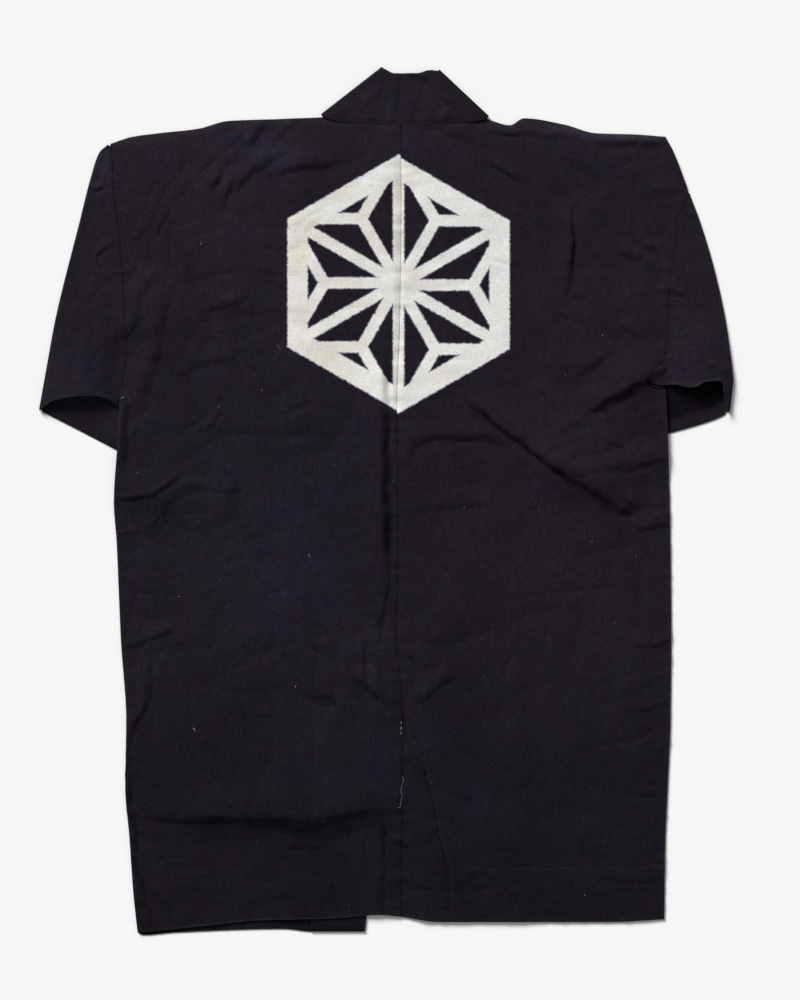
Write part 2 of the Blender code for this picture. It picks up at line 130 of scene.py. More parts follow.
RIGHT = {
    "side": (
        (414, 315), (400, 323), (370, 335), (350, 341), (336, 338), (324, 330), (295, 327),
        (253, 321), (189, 318), (163, 315), (147, 302), (133, 293), (126, 315), (77, 318),
        (-49, 321), (-159, 322), (-250, 321), (-323, 318), (-396, 315), (-476, 314),
    ),
    "tuck": 133,
    "row_stops": (-476, 76, 126, 133, 147, 163, 324, 336, 350, 414),
    "top": ((113, 434), (139, 427), (155, 435), (200, 428), (237, 418), (282, 416.5), (315, 414)),
    "hem_back": ((15, -473), (60, -479), (151, -479), (253, -479), (314, -476)),
    "hem_front": ((69, -470), (151, -472), (253, -473), (314, -471)),
    "neck_corner": (113, 434),
    "band_seam": ((434, 113), (340, 115), (100, 117), (-300, 121), (-473, 129)),
    "band_free": ((491, 57), (420, 57), (100, 57), (-200, 56), (-330, 61), (-473, 69)),
    "sleeve_fold": (
        (350, 343), (315, 356), (261, 372), (206, 384), (157, 391), (132, 394), (118, 397), (109, 394),
        (101, 389),
    ),
    "cuff_upper": (
        (389, 101), (384, 106), (381, 130), (376, 136), (361, 135), (348, 129), (342, 128.5), (325, 132),
        (294, 127),
    ),
    "cuff_lower": ((389, 101), (376, 94), (353, 86), (318, 76)),
    "tucked_corner": (207, 46),
    "corner_blunt": (-5, 5),
    "cuff_round": 2.5,
    "mouth_from": 317,
    "cuff_painted_shade": 0.62,
    "seam_painted_shade": 0.6,
    "over": -1,
    "outward": 1,
}

# (x, y) along the neck's seam and along the band's free edge behind the neck
NECK_SEAM = ((-74, 436), (-45, 428.5), (14, 426), (60, 427), (99, 431), (113, 434))
COLLAR_TOP = ((-5, 494), (8, 488.5), (33, 488.5), (48, 492), (57, 491))
NECK_MIDDLE = 20  # x, and how far the neck's seam reaches on each side of it
NECK_HALF = 93
print("outlines:", len(LEFT["side"]) + len(RIGHT["side"]), "points down the two sides")

# %% [markdown]
# ## Curves and grids
#
# Five small helpers do most of the work. The first reads a smooth curve through a table, with no
# overshoot, so that a straight seam stays straight between two points. The second goes from 0 to 1
# with level ends, which is how cloth leaves a flat surface, and the third does that from two edges
# at once. The fourth is a soft hump along a line, for seams and ridges. The last spaces out the rows
# of a grid.


# %% Curve helpers
def smooth_line(table, at):
    """The table's second column where its first is `at`."""
    rows = np.array(sorted(table), float)
    key, value = rows[:, 0], rows[:, 1]
    step = np.diff(key)
    slope = np.diff(value) / step
    lean = np.zeros(len(key))
    lean[0], lean[-1] = slope[0], slope[-1]
    turns = slope[:-1] * slope[1:] > 0
    inner = np.zeros(len(slope) - 1)
    inner[turns] = 2 * slope[:-1][turns] * slope[1:][turns] / (slope[:-1] + slope[1:])[turns]
    lean[1:-1] = inner
    at = np.clip(at, key[0], key[-1])
    cell = np.clip(np.searchsorted(key, at, side="right") - 1, 0, len(step) - 1)
    t = (at - key[cell]) / step[cell]
    return (
        value[cell] * (1 + 2 * t) * (1 - t) ** 2
        + value[cell + 1] * t * t * (3 - 2 * t)
        + step[cell] * (lean[cell] * t * (1 - t) ** 2 - lean[cell + 1] * t * t * (1 - t))
    )


def ease(t):
    """0 to 1, level at both ends."""
    t = np.clip(t, 0, 1)
    return t * t * (3 - 2 * t)


def within(low_gap, high_gap, run):
    """1 well inside two edges, given the distance to each, and falling to 0 over the run."""
    return ease(low_gap / run) * ease(high_gap / run)


def bell(gap, width):
    """1 on a line, and fading out on both sides of it: at twice the width hardly any is left."""
    return np.exp(-((gap / width) ** 2))


def stations(values, longest):
    """The values, with equal steps no longer than `longest` between each and the next."""
    out = [float(values[0])]
    for a, b in zip(values, values[1:]):
        steps = max(1, math.ceil(abs(b - a) / longest))
        out += [a + (b - a) * k / steps for k in range(1, steps + 1)]
    return np.array(out)


waist = [round(float(smooth_line(half["side"], 0)), 1) for half in (LEFT, RIGHT)]
print("side seams at the waist, x in mm:", waist)


# %% [markdown]
# ## Creases
#
# A crease in washed cotton is not a neat ridge. Along one line the cloth dips, on one side of it the
# cloth climbs steeply, and then it falls away softly over a few centimetres. Each row of the table
# is one crease: the points that it passes, how high the cloth beside it stands, how wide the climb
# and the soft side are, and how deep the line itself is pressed. The raised side is on the left
# when you walk along the points. Their lengths, heights and spacing are as uneven as on real cloth.
#
# A cloth simulation makes creases too, but it can't be told where. A table can, and it gives the
# same coat each time.

# %% Creases of the back and the sleeves
CREASES = (
    # points (x, y), then height, climb, soft side, dip, and half the dip's width if it isn't GROOVE
    # drop beside the centre seam
    (((-4, -110), (2, -60), (1, 1), (1, 60), (2, 110), (3, 190)), 1.8, 9, 24, 1.15, 4.8),
    (((-10, -178), (-8, -158), (-4, -132), (2, -100), (5, -64)), 0.5, 4, 12, 0.8, 1.6),
    (((-21, -207), (-25, -172), (-20, -151)), 1.3, 5, 7, 0.2),
    (((-41, -203), (-27, -213), (-9, -228), (13, -241)), 1.4, 6, 12, 0.9, 1.8),
    # the long diagonal, and what branches from it
    (((76, 126), (108, 96), (149, 65), (198, 27), (226, 8)), 2.4, 5, 20, 1.6, 2.3),
    (((182, 42), (200, 29), (231, 7), (258, -10), (272, -17), (291, -15)), 0.4, 4, 10, 0.6, 1.6),
    (((170, 46), (200, 25), (231, 3), (262, -16), (300, -17)), 2.0, 13, 17, 0.7, 6.0),
    (((252, 8), (270, -2), (291, -15)), 0.6, 4, 7, 0.5),
    (((203, 30), (229, 23)), 0.8, 4, 8, 0.6),
    (((17, 28), (30, 52), (45, 67), (107, 66), (148, 59)), 1.3, 8, 14, 0.45),
    (((15, -27), (34, -15), (102, -9), (130, -9)), 0.6, 8, 12, 0.15),
    # under the right arm
    (((233, 94), (268, 115), (298, 129), (318, 150)), 1.8, 12, 22, 0.6, 5.0),
    (((231, 99), (267, 121), (294, 135), (314, 157)), 0.5, 4, 14, 0.6),
    (((293, 131), (305, 127), (318, 127)), 1.6, 4, 8, 0.8),
    (((232, 44), (264, 30), (290, 37), (336, 48)), 1.8, 9, 14, 0.4, 3.0),
    (((234, 73), (253, 62), (276, 54)), 0.8, 4, 8, 0.6),
    (((166, 131), (188, 106), (215, 78)), 0.9, 4, 10, 0.6),
    (((220, 92), (242, 102), (258, 93), (266, 80)), 0.7, 4, 7, 0.4),
    (((212, 131), (233, 146), (256, 165)), 1.4, 11, 14, 0),
    (((280, -42), (296, -34), (326, -31)), 1.1, 8, 10, 0.2, 2.6),
    # over the right shoulder blade
    (((216, 217), (207, 223), (205, 233), (210, 244), (213, 277), (211, 308), (213, 327), (226, 350)),
     1.2, 5, 14, 0.8),
    (((191, 214), (217, 197)), 0.8, 4, 8, 0.5),
    (((112, 391), (125, 376), (159, 353)), 0.9, 3.5, 10, 0.8),
    (((159, 341), (180, 331), (198, 313), (212, 294)), 0.7, 5, 10, 0.4),
    (((39, 425), (68, 415), (98, 401)), 0.7, 6, 10, 0.4),
    (((258, 279), (288, 270)), 1.2, 6, 9, 0.3),
    (((289, 289), (323, 278)), 0.8, 4, 8, 0.3),
    (((306, 239), (338, 229)), 1, 5, 9, 0.3),
    (((260, 199), (291, 178)), 0.8, 5, 9, 0.3),
    (((299, 352), (333, 343)), 0.7, 5, 9, 0.2),
    # the strip that rolls over the right shoulder
    (((103, 419), (131, 415), (188, 412), (213, 409), (228, 398)), 0.9, 6, 8, 0.6),
    (((229, 404), (272, 402), (330, 402)), 1.1, 8, 8, 0.6, 3.0),
    # the left shoulder
    (((-134, 366), (-93, 376), (-48, 379)), 1.3, 8, 14, 0.3),
    (((-183, 339), (-162, 359), (-139, 378), (-104, 398)), 1.2, 8, 11, 0.2),
    (((-200, 350), (-184, 374), (-168, 396)), 0.9, 6, 8, 0.15),
    (((-186, 326), (-178, 350), (-166, 378)), 0.8, 6, 7, 0.1),
    (((-160, 396), (-146, 414), (-130, 438)), 1.1, 7, 10, 0.2),
    (((-138, 396), (-118, 414), (-93, 436)), 0.9, 6, 8, 0.15),
    (((-337, 350), (-326, 354), (-312, 358)), 0.9, 4, 9, 0.6),
    # beside the left armhole
    (((-286, 170), (-281, 208), (-271, 237), (-252, 261)), 1.7, 12, 14, 0.15, 3.0),
    (((-284, 83), (-277, 98), (-262, 143), (-253, 188), (-246, 222), (-233, 254)),
     2.0, 14, 16, 0.15, 3.0),
    (((-208, 213), (-178, 220), (-152, 232)), 1.1, 9, 13, 0.2, 3.0),
    (((-333, 274), (-306, 293)), 0.8, 4, 7, 0.3),
    (((-310, 247), (-280, 265)), 0.9, 4, 7, 0.3),
    (((-236, 131), (-224, 144), (-206, 151), (-166, 156)), 0.9, 8, 12, 0.15),
    (((-207, 75), (-184, 101)), 0.8, 3.5, 6, 0),
    (((-301, 24), (-298, 60), (-297, 88), (-294, 116)), 0.9, 5, 7, 1.2, 2.8),
    (((-293, 58), (-282, 87)), 0.8, 5, 8, 0.3),
    # the left waist
    (((-318, -1), (-282, 0), (-257, 11), (-230, 27)), 1.4, 5, 12, 0.45),
    (((-240, 14), (-198, 8), (-158, 9)), 0.9, 7, 10, 0.2),
    (((-270, -42), (-251, -15), (-229, 10)), 0.9, 8, 12, 0),
    (((-315, -41), (-280, -38)), 0.8, 4, 7, 0.4),
    (((-302, -176), (-271, -161), (-236, -146)), 1.5, 6, 9, 0.4),
    # down the left side, with the strip that rolls under at its foot
    (((-295, -290), (-282, -252), (-270, -228), (-267, -194), (-270, -160)), 1.3, 6, 9, 0.6),
    (((-268, -502), (-270, -471), (-279, -437), (-286, -416), (-287, -379), (-294, -325),
      (-290, -250)), 0.6, 3, 5, 1.7),
    # the skirt, left of the centre seam
    (((-111, -224), (-90, -224), (-62, -231), (-43, -249)), 0.9, 6, 9, 0.7, 2.6),
    (((-152, -245), (-131, -248)), 0.6, 4, 7, 0.4),
    (((-302, -358), (-282, -362), (-223, -371), (-180, -371), (-118, -374), (-92, -379), (-66, -372),
      (-41, -366), (-7, -361), (44, -372)), 2.2, 15, 40, 0.6, 7.5),
    (((-286, -360), (-244, -365), (-205, -366), (-150, -367)), 0.5, 4, 10, 0.5, 1.5),
    (((-250, -359), (-180, -362), (-118, -365), (-66, -361), (-4, -350)), 0.4, 4, 12, 0.5),
    (((-124, -396), (-62, -398)), 1, 6, 9, 0.4, 2.6),
    (((-130, -386), (-70, -388), (-30, -376), (30, -380)), 0.4, 9, 12, 0.5, 9.0),
    (((-4, -483), (-3, -410), (-4, -338)), 0.8, 5, 10, 0.5),
    (((1, -432), (19, -438), (62, -447)), 0.6, 4, 7, 0.35),
    (((3, -384), (19, -394), (37, -392)), 0.6, 5, 8, 0.2),
    # the skirt, right of the centre seam
    (((16, -170), (29, -182), (42, -198)), 1.0, 5, 10, 0.35),
    (((20, -236), (44, -228), (62, -214), (84, -200)), 0.9, 8, 12, 0.1, 3.0),
    (((19, -226), (20, -252), (21, -275)), 0.6, 4, 8, 0.7),
    (((38, -270), (42, -302), (49, -331), (56, -362), (61, -393), (68, -425), (70, -492)),
     0.9, 4, 12, 1.5, 1.1),
    (((236, -432), (306, -436)), 0.4, 4.5, 6, 0.2),
    (((250, -444), (304, -447)), 0.4, 4.5, 6, 0.2),
    (((258, -330), (285, -336), (316, -334)), 0.6, 4, 7, 0.3),
    (((272, -165), (295, -169), (324, -160)), 1.0, 5, 8, 0.3),
    (((266, -236), (290, -241), (320, -236)), 0.8, 5, 8, 0.3),
)
GROOVE = 1.5  # half width of a crease's pressed line, where its row gives none
SPREAD = 5.0  # and how much wider the soft trough round the line is
RAISED = 1.7  # how much all the creases are raised
PRESSED = 1.3  # and how much deeper their lines are pressed
TROUGH = 0.6  # share of a line's depth that spreads out as a soft trough
WOBBLE = 1.9  # how far a crease strays from its points
FADE = 0.26  # share of a crease over which it fades in, at each end
print(len(CREASES), "creases placed by hand")

# Broad folds, which the solids have too
FOLDS = (
    # start, bend and end (x, y), then height, width on the left and on the right
    ((-5, 300), (4, 40), (-2, -150), 1.6, 40, 12),
    ((100, 102), (180, 40), (290, -18), 7.0, 34, 16),
    ((315, 158), (286, 126), (250, 118), 5.0, 26, 20),
    ((-258, -361), (-110, -366), (-2, -348), 6.0, 40, 16),
    ((230, 350), (208, 320), (213, 262), 3.5, 24, 12),
    ((-248, 262), (-282, 220), (-286, 178), 5.0, 26, 18),
    ((-224, 248), (-256, 206), (-270, 118), 6.0, 30, 18),
    ((-152, 232), (-180, 222), (-206, 214), 3.0, 24, 14),
    ((-304, -3), (-250, 12), (-234, 26), 4.0, 24, 14),
)
FOLD_SHARE = 0.8  # how much of each broad fold is left under its creases
print(len(FOLDS), "broad folds")


# %% [markdown]
# ## Hills and hollows
#
# Cloth is never quite flat between its creases either. A grid of random values, read through a soft
# curve, gives hills and hollows of any size. A fixed seed keeps them the same each time.


# %% Random hills and hollows
LATTICE = 256  # random values each way, after which the pattern repeats


def hills(x, y, size, seed):
    """Smooth hills and hollows about `size` across, from -1 to 1."""
    lattice = np.random.default_rng(seed).uniform(-1, 1, (LATTICE, LATTICE))
    u, v = np.asarray(x, float) / size, np.asarray(y, float) / size
    i, j = np.floor(u).astype(int), np.floor(v).astype(int)
    a, b = ease(u - i), ease(v - j)
    i, j, i2, j2 = i % LATTICE, j % LATTICE, (i + 1) % LATTICE, (j + 1) % LATTICE
    low = lattice[i, j] * (1 - a) + lattice[i2, j] * a
    high = lattice[i, j2] * (1 - a) + lattice[i2, j2] * a
    return low * (1 - b) + high * b


print("a row of hills 70 mm across:", hills(np.arange(0, 300, 60), 0, 70, 21).round(2))


# %% [markdown]
# To draw a crease, each grid point needs its distance to the crease's line, on which side it is, and
# how far along the line it lies. The line is a smooth curve through the row's points. No crease is
# quite even, so the random hills also bend its line and change its width and depth.


# %% Shape of one crease
def curve_through(points, pieces=6):
    """A smooth curve through the points, as a polyline."""
    p = np.array(points, float)
    p = np.vstack([2 * p[0] - p[1], p, 2 * p[-1] - p[-2]])
    t = np.linspace(0, 1, pieces, endpoint=False)[:, None]
    parts = []
    for a, b, c, d in zip(p, p[1:], p[2:], p[3:]):
        bend = (2 * a - 5 * b + 4 * c - d) * t**2 + (3 * b - a - 3 * c + d) * t**3
        parts.append(0.5 * (2 * b + (c - a) * t + bend))
    return np.vstack([*parts, p[-2:-1]])


def beside(x, y, line):
    """Distance of each point from the line, positive on its left, and its place along it, 0 to 1."""
    spot = np.stack([x, y], -1)[..., None, :]
    run = np.diff(line, axis=0)
    share = np.clip(((spot - line[:-1]) * run).sum(-1) / (run * run).sum(-1), 0, 1)
    away = spot - (line[:-1] + share[..., None] * run)
    gap = np.hypot(away[..., 0], away[..., 1])
    near = gap.argmin(-1)[..., None]
    side = np.sign(np.take_along_axis(run[:, 0] * away[..., 1] - run[:, 1] * away[..., 0], near, -1))
    length = np.concatenate([[0], np.cumsum(np.hypot(*run.T))])
    place = length[near] + np.take_along_axis(share, near, -1) * np.diff(length)[near]
    return (side * np.take_along_axis(gap, near, -1))[..., 0], place[..., 0] / length[-1]


def crease_shape(x, y, points, height, climb, soft, dip, groove=GROOVE):
    """How high one crease stands, and how deep its line is pressed, at each point it reaches."""
    line = curve_through(points)
    margin = climb + 2.5 * soft
    low, high = line.min(0) - margin, line.max(0) + margin
    near = (x > low[0]) & (x < high[0]) & (y > low[1]) & (y < high[1])
    raised, pressed = np.zeros(np.shape(x)), np.zeros(np.shape(x))
    if not near.any():
        return raised, pressed
    gap, place = beside(x[near], y[near], line)
    gap = gap + WOBBLE * hills(x[near], y[near], 14, 3)
    fade = within(place, 1 - place, FADE)
    fade = fade * (1 + 0.3 * hills(x[near], y[near], 30, 5))
    ridge = ease(gap / climb) * bell(np.maximum(gap - climb, 0), soft)
    width = groove * (1 + 0.45 * hills(x[near], y[near], 22, 7))
    line_depth = bell(gap, width) * (1 + 0.7 * hills(x[near], y[near], 13, 9))
    trough = TROUGH * bell(gap, groove + SPREAD)
    raised[near] = fade * (RAISED * height * ridge - PRESSED * dip * trough)
    pressed[near] = fade * PRESSED * dip * line_depth
    return raised, pressed


def all_creases(x, y, table):
    """The table's creases together: how high, and how deep."""
    shapes = [crease_shape(x, y, *row) for row in table]
    return sum(shape[0] for shape in shapes), sum(shape[1] for shape in shapes)


def fold_height(x, y, start, bend, end, height, left, right):
    """Height of one broad fold: a rounded ridge along a bent line, wider on one side."""
    t = np.linspace(0, 1, 13)[:, None]
    line = (1 - t) ** 2 * np.array(start) + 2 * t * (1 - t) * np.array(bend) + t * t * np.array(end)
    gap, place = beside(x, y, line)
    width = np.where(gap > 0, left, right)
    fade = np.sin(math.pi * np.clip(place, 0.02, 0.98)) ** 0.7
    return height * fade * bell(gap, width)


print("the first crease's line has", len(curve_through(CREASES[0][0])), "points")


# %% [markdown]
# ## Seams and puckers
#
# A sewn seam pulls the cloth down into a fine line, and gathers it a little, so short ripples run
# away from it at right angles. Old cotton shows these more than new, because the thread and the
# cloth shrink differently in the wash. Each ripple could be modelled, but there are hundreds, so a
# formula makes them from two distances: along the seam, and away from it.


# %% Puckers along the seams
def ripples(along, gap, reach, pitch, height, seed):
    """Short ripples that run away from a seam and die out."""
    wave = hills(along, gap * 0.12 + 40 * seed, pitch, seed)
    return height * wave * np.exp(-gap / reach)


def seam_line(gap, width=2.0, depth=0.6):
    """The fine line of a seam."""
    return -depth * bell(gap, width)


def armhole_line(gap, y, half):
    """The line of a sleeve's seam, down to where the sleeve goes under the body."""
    return seam_line(gap, 1.8, 0.5) * ease((y - half["tuck"]) / 10)


def back_seams(x, y):
    """The seams and puckers of the back layer."""
    centre = np.abs(x - smooth_line(CENTRE_BACK, y))
    left, right = x - smooth_line(LEFT["side"], y), smooth_line(RIGHT["side"], y) - x
    tops = smooth_line(LEFT["top"], x), smooth_line(RIGHT["top"], x)
    shoulder = np.where(x < NECK_MIDDLE, *tops) - y
    past_neck = np.maximum(np.abs(x - NECK_MIDDLE) - NECK_HALF, 0)
    neck = np.hypot(past_neck, smooth_line(NECK_SEAM, x) - y)
    hems = smooth_line(LEFT["hem_back"], x), smooth_line(RIGHT["hem_back"], x)
    hem = y - np.where(x < CENTRE_BACK[-1][1], *hems)
    z = seam_line(centre, 2.2, 0.55) + ripples(y, centre, 13, 7, 0.9, 11)
    z = z + seam_line(shoulder, 7, 1.0)
    z = z + armhole_line(np.abs(left), y, LEFT) + armhole_line(np.abs(right), y, RIGHT)
    z = z + ripples(y, np.abs(left), 16, 8, 0.7, 12) + ripples(y, np.abs(right), 20, 7, 0.8, 13)
    z = z + ripples(x, np.abs(shoulder), 14, 9, 0.6, 14) + ripples(x, np.abs(neck), 12, 7, 0.5, 15)
    return z + ripples(x, np.abs(hem), 10, 8, 0.5, 16)


print("beside the centre seam, in mm:", back_seams(np.arange(10, 20, 2), 0).round(2))

# %% [markdown]
# ## The hems
#
# The back hem is turned up about five centimetres on the left half and six on the right, which
# leaves a faint ridge and a line of running stitches on the outside. The stitches are made later;
# here the cloth only gets its step.

# %% Hem lines
HEM_RIGHT = ((72, -417), (130, -418), (235, -418), (316, -417))
HEM_LEFT = ((-286, -437), (-200, -434), (-127, -434), (-42, -428), (-6, -429))
HEM_STEP = 0.25  # how much higher the turned-up cloth stands


def hem_lines(x, y):
    """The step where the turned-up hem ends, on each half."""
    z = 0
    for table in (HEM_RIGHT, HEM_LEFT):
        gap = y - smooth_line(table, x)
        turned_up = HEM_STEP * ease(0.5 - gap / 3) * ease(1 + (gap + 40) / 20)
        reach = within(x - table[0][0], table[-1][0] - x, 10)
        z = z + reach * (turned_up - 0.3 * bell(gap, 1.6))
    return z


print("across the right hem's step, in mm:", hem_lines(200, np.arange(-424, -410, 3)).round(2))


# %% [markdown]
# ## Heights of the layers
#
# The height of any point of the coat is added up from the table. A corner of each sleeve is tucked
# under the body and lifts it. The bands lift the back by their extra thickness, and between them it
# sags. On top of that come the folds, the creases, the puckers and the random unevenness.


# %% Layer heights
def tuck_lift(x, y, half):
    """How far a body half is lifted by the corner of the sleeve that lies under it."""
    entry = (smooth_line(half["side"], half["tuck"]), half["tuck"])
    under = [entry, half["tucked_corner"], half["cuff_lower"][-1]]
    if half["outward"] > 0:
        under.reverse()
    inside = np.ones(np.shape(x), bool)
    away = np.full(np.shape(x), np.inf)
    for (ax, ay), (bx, by) in zip(under, under[1:] + under[:1]):
        run_x, run_y = bx - ax, by - ay
        share = np.clip(((x - ax) * run_x + (y - ay) * run_y) / (run_x**2 + run_y**2), 0, 1)
        away = np.minimum(away, np.hypot(x - ax - share * run_x, y - ay - share * run_y))
        inside &= run_x * (y - ay) - run_y * (x - ax) <= 0
    layers = 2 * CLOTH + 2 * GAP
    return layers * ease((LIFT_REACH - np.where(inside, 0, away)) / LIFT_CELL)


def front_floor(x, y):
    """Underside of the fronts: on the table but where a sleeve lies below."""
    return tuck_lift(x, y, LEFT) + tuck_lift(x, y, RIGHT)


lifted = [round(float(front_floor(x, 80)), 1) for x in (-260, 0, 270)]
print("the fronts lie this high over the left corner, the middle and the right, in mm:", lifted)


# %% [markdown]
# The rest of the cloth is uneven in two ways: soft hills and hollows all over it, and fine wrinkles
# that run the same way within each region of the coat. One row for each region is enough, because
# the wrinkles themselves come from the random hills.


# %% Small wrinkles
def unevenness(x, y):
    """The soft hills and hollows of washed cotton, from a hand's width down to a fingertip."""
    z = 0.9 * hills(x, y, 70, 21) + 0.55 * hills(x + y / 2, y - x / 2, 31, 22)
    return z + 0.26 * hills(x, y, 13, 23) + 0.10 * hills(x - y / 3, y + x / 3, 6.5, 24)


WRINKLES = (
    # where: x, y, half width, half height; then direction in degrees, spacing, depth, seed
    (210, 300, 130, 130, -38, 15, 1.5, 71),
    (200, 90, 130, 110, 24, 17, 0.8, 72),
    (-230, 250, 90, 120, 52, 16, 1.2, 75),
    (-200, 60, 130, 110, 22, 18, 1.3, 76),
    (-140, 340, 110, 80, 40, 14, 1.3, 77),
    (0, 0, 420, 520, 6, 24, 1.1, 73),
    (0, 0, 420, 520, 86, 28, 0.9, 74),
    (0, -430, 420, 60, 1, 9, 0.9, 78),
    (-60, -190, 90, 90, -30, 13, 1.3, 79),
    (-270, -200, 50, 200, 60, 14, 1.0, 80),
    (300, -200, 40, 220, 12, 10, 1.0, 81),
    (-290, -20, 50, 70, 14, 10, 1.2, 82),
    (310, 120, 60, 90, 20, 11, 0.9, 83),
    (360, 250, 50, 140, -50, 13, 1.0, 84),
    (-350, 250, 50, 140, 50, 13, 0.9, 85),
)
WRINKLED = 1.25  # how deep all the small wrinkles are
CALM_PLACE = (12, 248)  # (x, y) of the middle of the crest, where the cloth lies flatter
CALM_RADIUS = 150
CALM_SHARE = 0.6  # how much of the wrinkles is gone there


def wrinkles(x, y):
    """Depth of the small wrinkles that no table lists: soft valleys that come and go."""
    depth = 0
    for px, py, half_width, half_height, turn, spacing, deep, seed in WRINKLES:
        here = np.exp(-(((x - px) / half_width) ** 4) - ((y - py) / half_height) ** 4)
        here = here * np.clip(hills(x, y, 3 * spacing, seed + 40) + 0.45, 0, 1)
        c, s = math.cos(math.radians(turn)), math.sin(math.radians(turn))
        along, across = x * c + y * s, y * c - x * s
        stray = 0.5 * spacing * hills(x, y, 2.5 * spacing, seed + 20)
        field = hills(0.3 * along, across + stray, spacing, seed)
        depth = depth + deep * here * (1 - np.abs(field)) ** 3
    calm = np.exp(-((np.hypot(x - CALM_PLACE[0], y - CALM_PLACE[1]) / CALM_RADIUS) ** 6))
    return WRINKLED * depth * (1 - CALM_SHARE * calm)


print(len(WRINKLES), "regions of wrinkles")

# %% [markdown]
# Now the back's height can be added up, layer on layer. It never comes down closer to the front
# than a small gap, so the two layers can't cross.


# %% Height of the back
def folded(x, y):
    """Height of all the creases, with what is left of the broad folds, and how deep they are pressed."""
    raised, pressed = all_creases(x, y, CREASES)
    broad = sum(FOLD_SHARE * fold_height(x, y, *row) for row in FOLDS)
    return broad + raised - pressed - wrinkles(x, y), pressed


def back_top(x, y, creased):
    """Upper side of the back layer, with the height of its creases."""
    past_seams = x - smooth_line(LEFT["band_seam"], y), smooth_line(RIGHT["band_seam"], y) - x
    past_bands = x - smooth_line(LEFT["band_free"], y), smooth_line(RIGHT["band_free"], y) - x
    past_sides = x - smooth_line(LEFT["side"], y), smooth_line(RIGHT["side"], y) - x
    over_bands = within(past_seams[0] + BAND_REACH, past_seams[1] + BAND_REACH, LIFT_CELL)
    between = within(past_bands[0] - SAG_INSET, past_bands[1] - SAG_INSET, LIFT_CELL)
    across = within(*past_sides, EDGE_RISE)
    along = within(CENTRE_BACK[0][0] - y, y - CENTRE_BACK[-1][0], EDGE_RISE)
    z = front_floor(x, y) + 2 * CLOTH + GAP
    z = z + (BAND - CLOTH) * over_bands - CLOTH * between + FLOAT * across * along
    calm = 0.35 + 0.65 * across * along
    z = z + creased + back_seams(x, y) + hem_lines(x, y) + calm * unevenness(x, y)
    return np.maximum(z, front_floor(x, y) + CLOTH + LEAST_LIFT)


waist_x = np.arange(-250, 251, 100)
print("the back across the waist, in mm:", back_top(waist_x, 0 * waist_x, 0).round(1))


# %% [markdown]
# ## From a grid to cloth
#
# Each piece is a grid of points, one row after another. A place where the cloth is cut away holds no
# number, and no face is made there. The grid also gets a UV map named `cut`, which says where on the
# flat cloth, in metres, each point was before sewing. The dye and the weave read it, so they follow
# the threads over a fold. Solidify then gives the sheet its wall, and a small bevel rounds its edge.
# The body halves are closed in by their own layers, so they only need the wall's rim.


# %% Cloth from a grid
def put_in_scene(name, data):
    """An object that holds the data, put in the scene."""
    thing = bpy.data.objects.new(name, data)
    bpy.context.scene.collection.objects.link(thing)
    return thing


def cloth_piece(name, grid, cut, tone, wall=SHELL, round_edge=EDGE_ROUND, rim_only=False):
    """A mesh object from a grid of points in mm, its place on the flat cloth and its tone."""
    made = np.isfinite(grid[..., 0])
    number = np.cumsum(made).reshape(made.shape) - 1
    corners = [number[:-1, :-1], number[:-1, 1:], number[1:, 1:], number[1:, :-1]]
    whole = made[:-1, :-1] & made[:-1, 1:] & made[1:, 1:] & made[1:, :-1]
    faces = np.stack([corner[whole] for corner in corners], -1)
    points = grid[made] * METRE
    a, b, c = (points[faces[:, k]] for k in range(3))
    # Faces need their outer side out: here, up where the cloth is highest.
    up = np.cross(b - a, c - a)[:, 2]
    highest = points[faces].mean(1)[:, 2].argmax()
    if up[highest] < 0:
        faces = faces[:, ::-1]
    data = bpy.data.meshes.new(name)
    data.from_pydata(points.tolist(), [], faces.tolist())
    uv = data.uv_layers.new(name="cut")
    flat = (cut[made] * METRE)[faces.ravel()]
    uv.uv.foreach_set("vector", flat.astype(np.float32).ravel())
    for key, values in tone.items():
        layer = data.attributes.new(key, "FLOAT", "POINT")
        layer.data.foreach_set("value", values[made].astype(np.float32))
    data.shade_smooth()
    piece = put_in_scene(name, data)
    shell = piece.modifiers.new("wall", "SOLIDIFY")
    shell.thickness = wall * METRE
    shell.offset = -1
    shell.use_rim_only = rim_only
    edge = piece.modifiers.new("rounded edge", "BEVEL")
    edge.width = round_edge * METRE
    edge.segments = 2
    edge.limit_method = "ANGLE"
    edge.angle_limit = math.radians(60)
    print(f"{name}: {len(points)} points, {len(faces)} faces")
    return piece


def arcs(upper, lower, outward, reach, steps):
    """Rows of points round a folded edge, from the upper row to the lower one."""
    middle, half = (upper + lower) / 2, (upper - lower) / 2
    turn = np.linspace(0, math.pi, steps + 1)[1:-1]
    bulge = np.asarray(outward, float) * np.asarray(reach, float)[..., None]
    return [middle + half * math.cos(t) + bulge * math.sin(t) for t in turn]
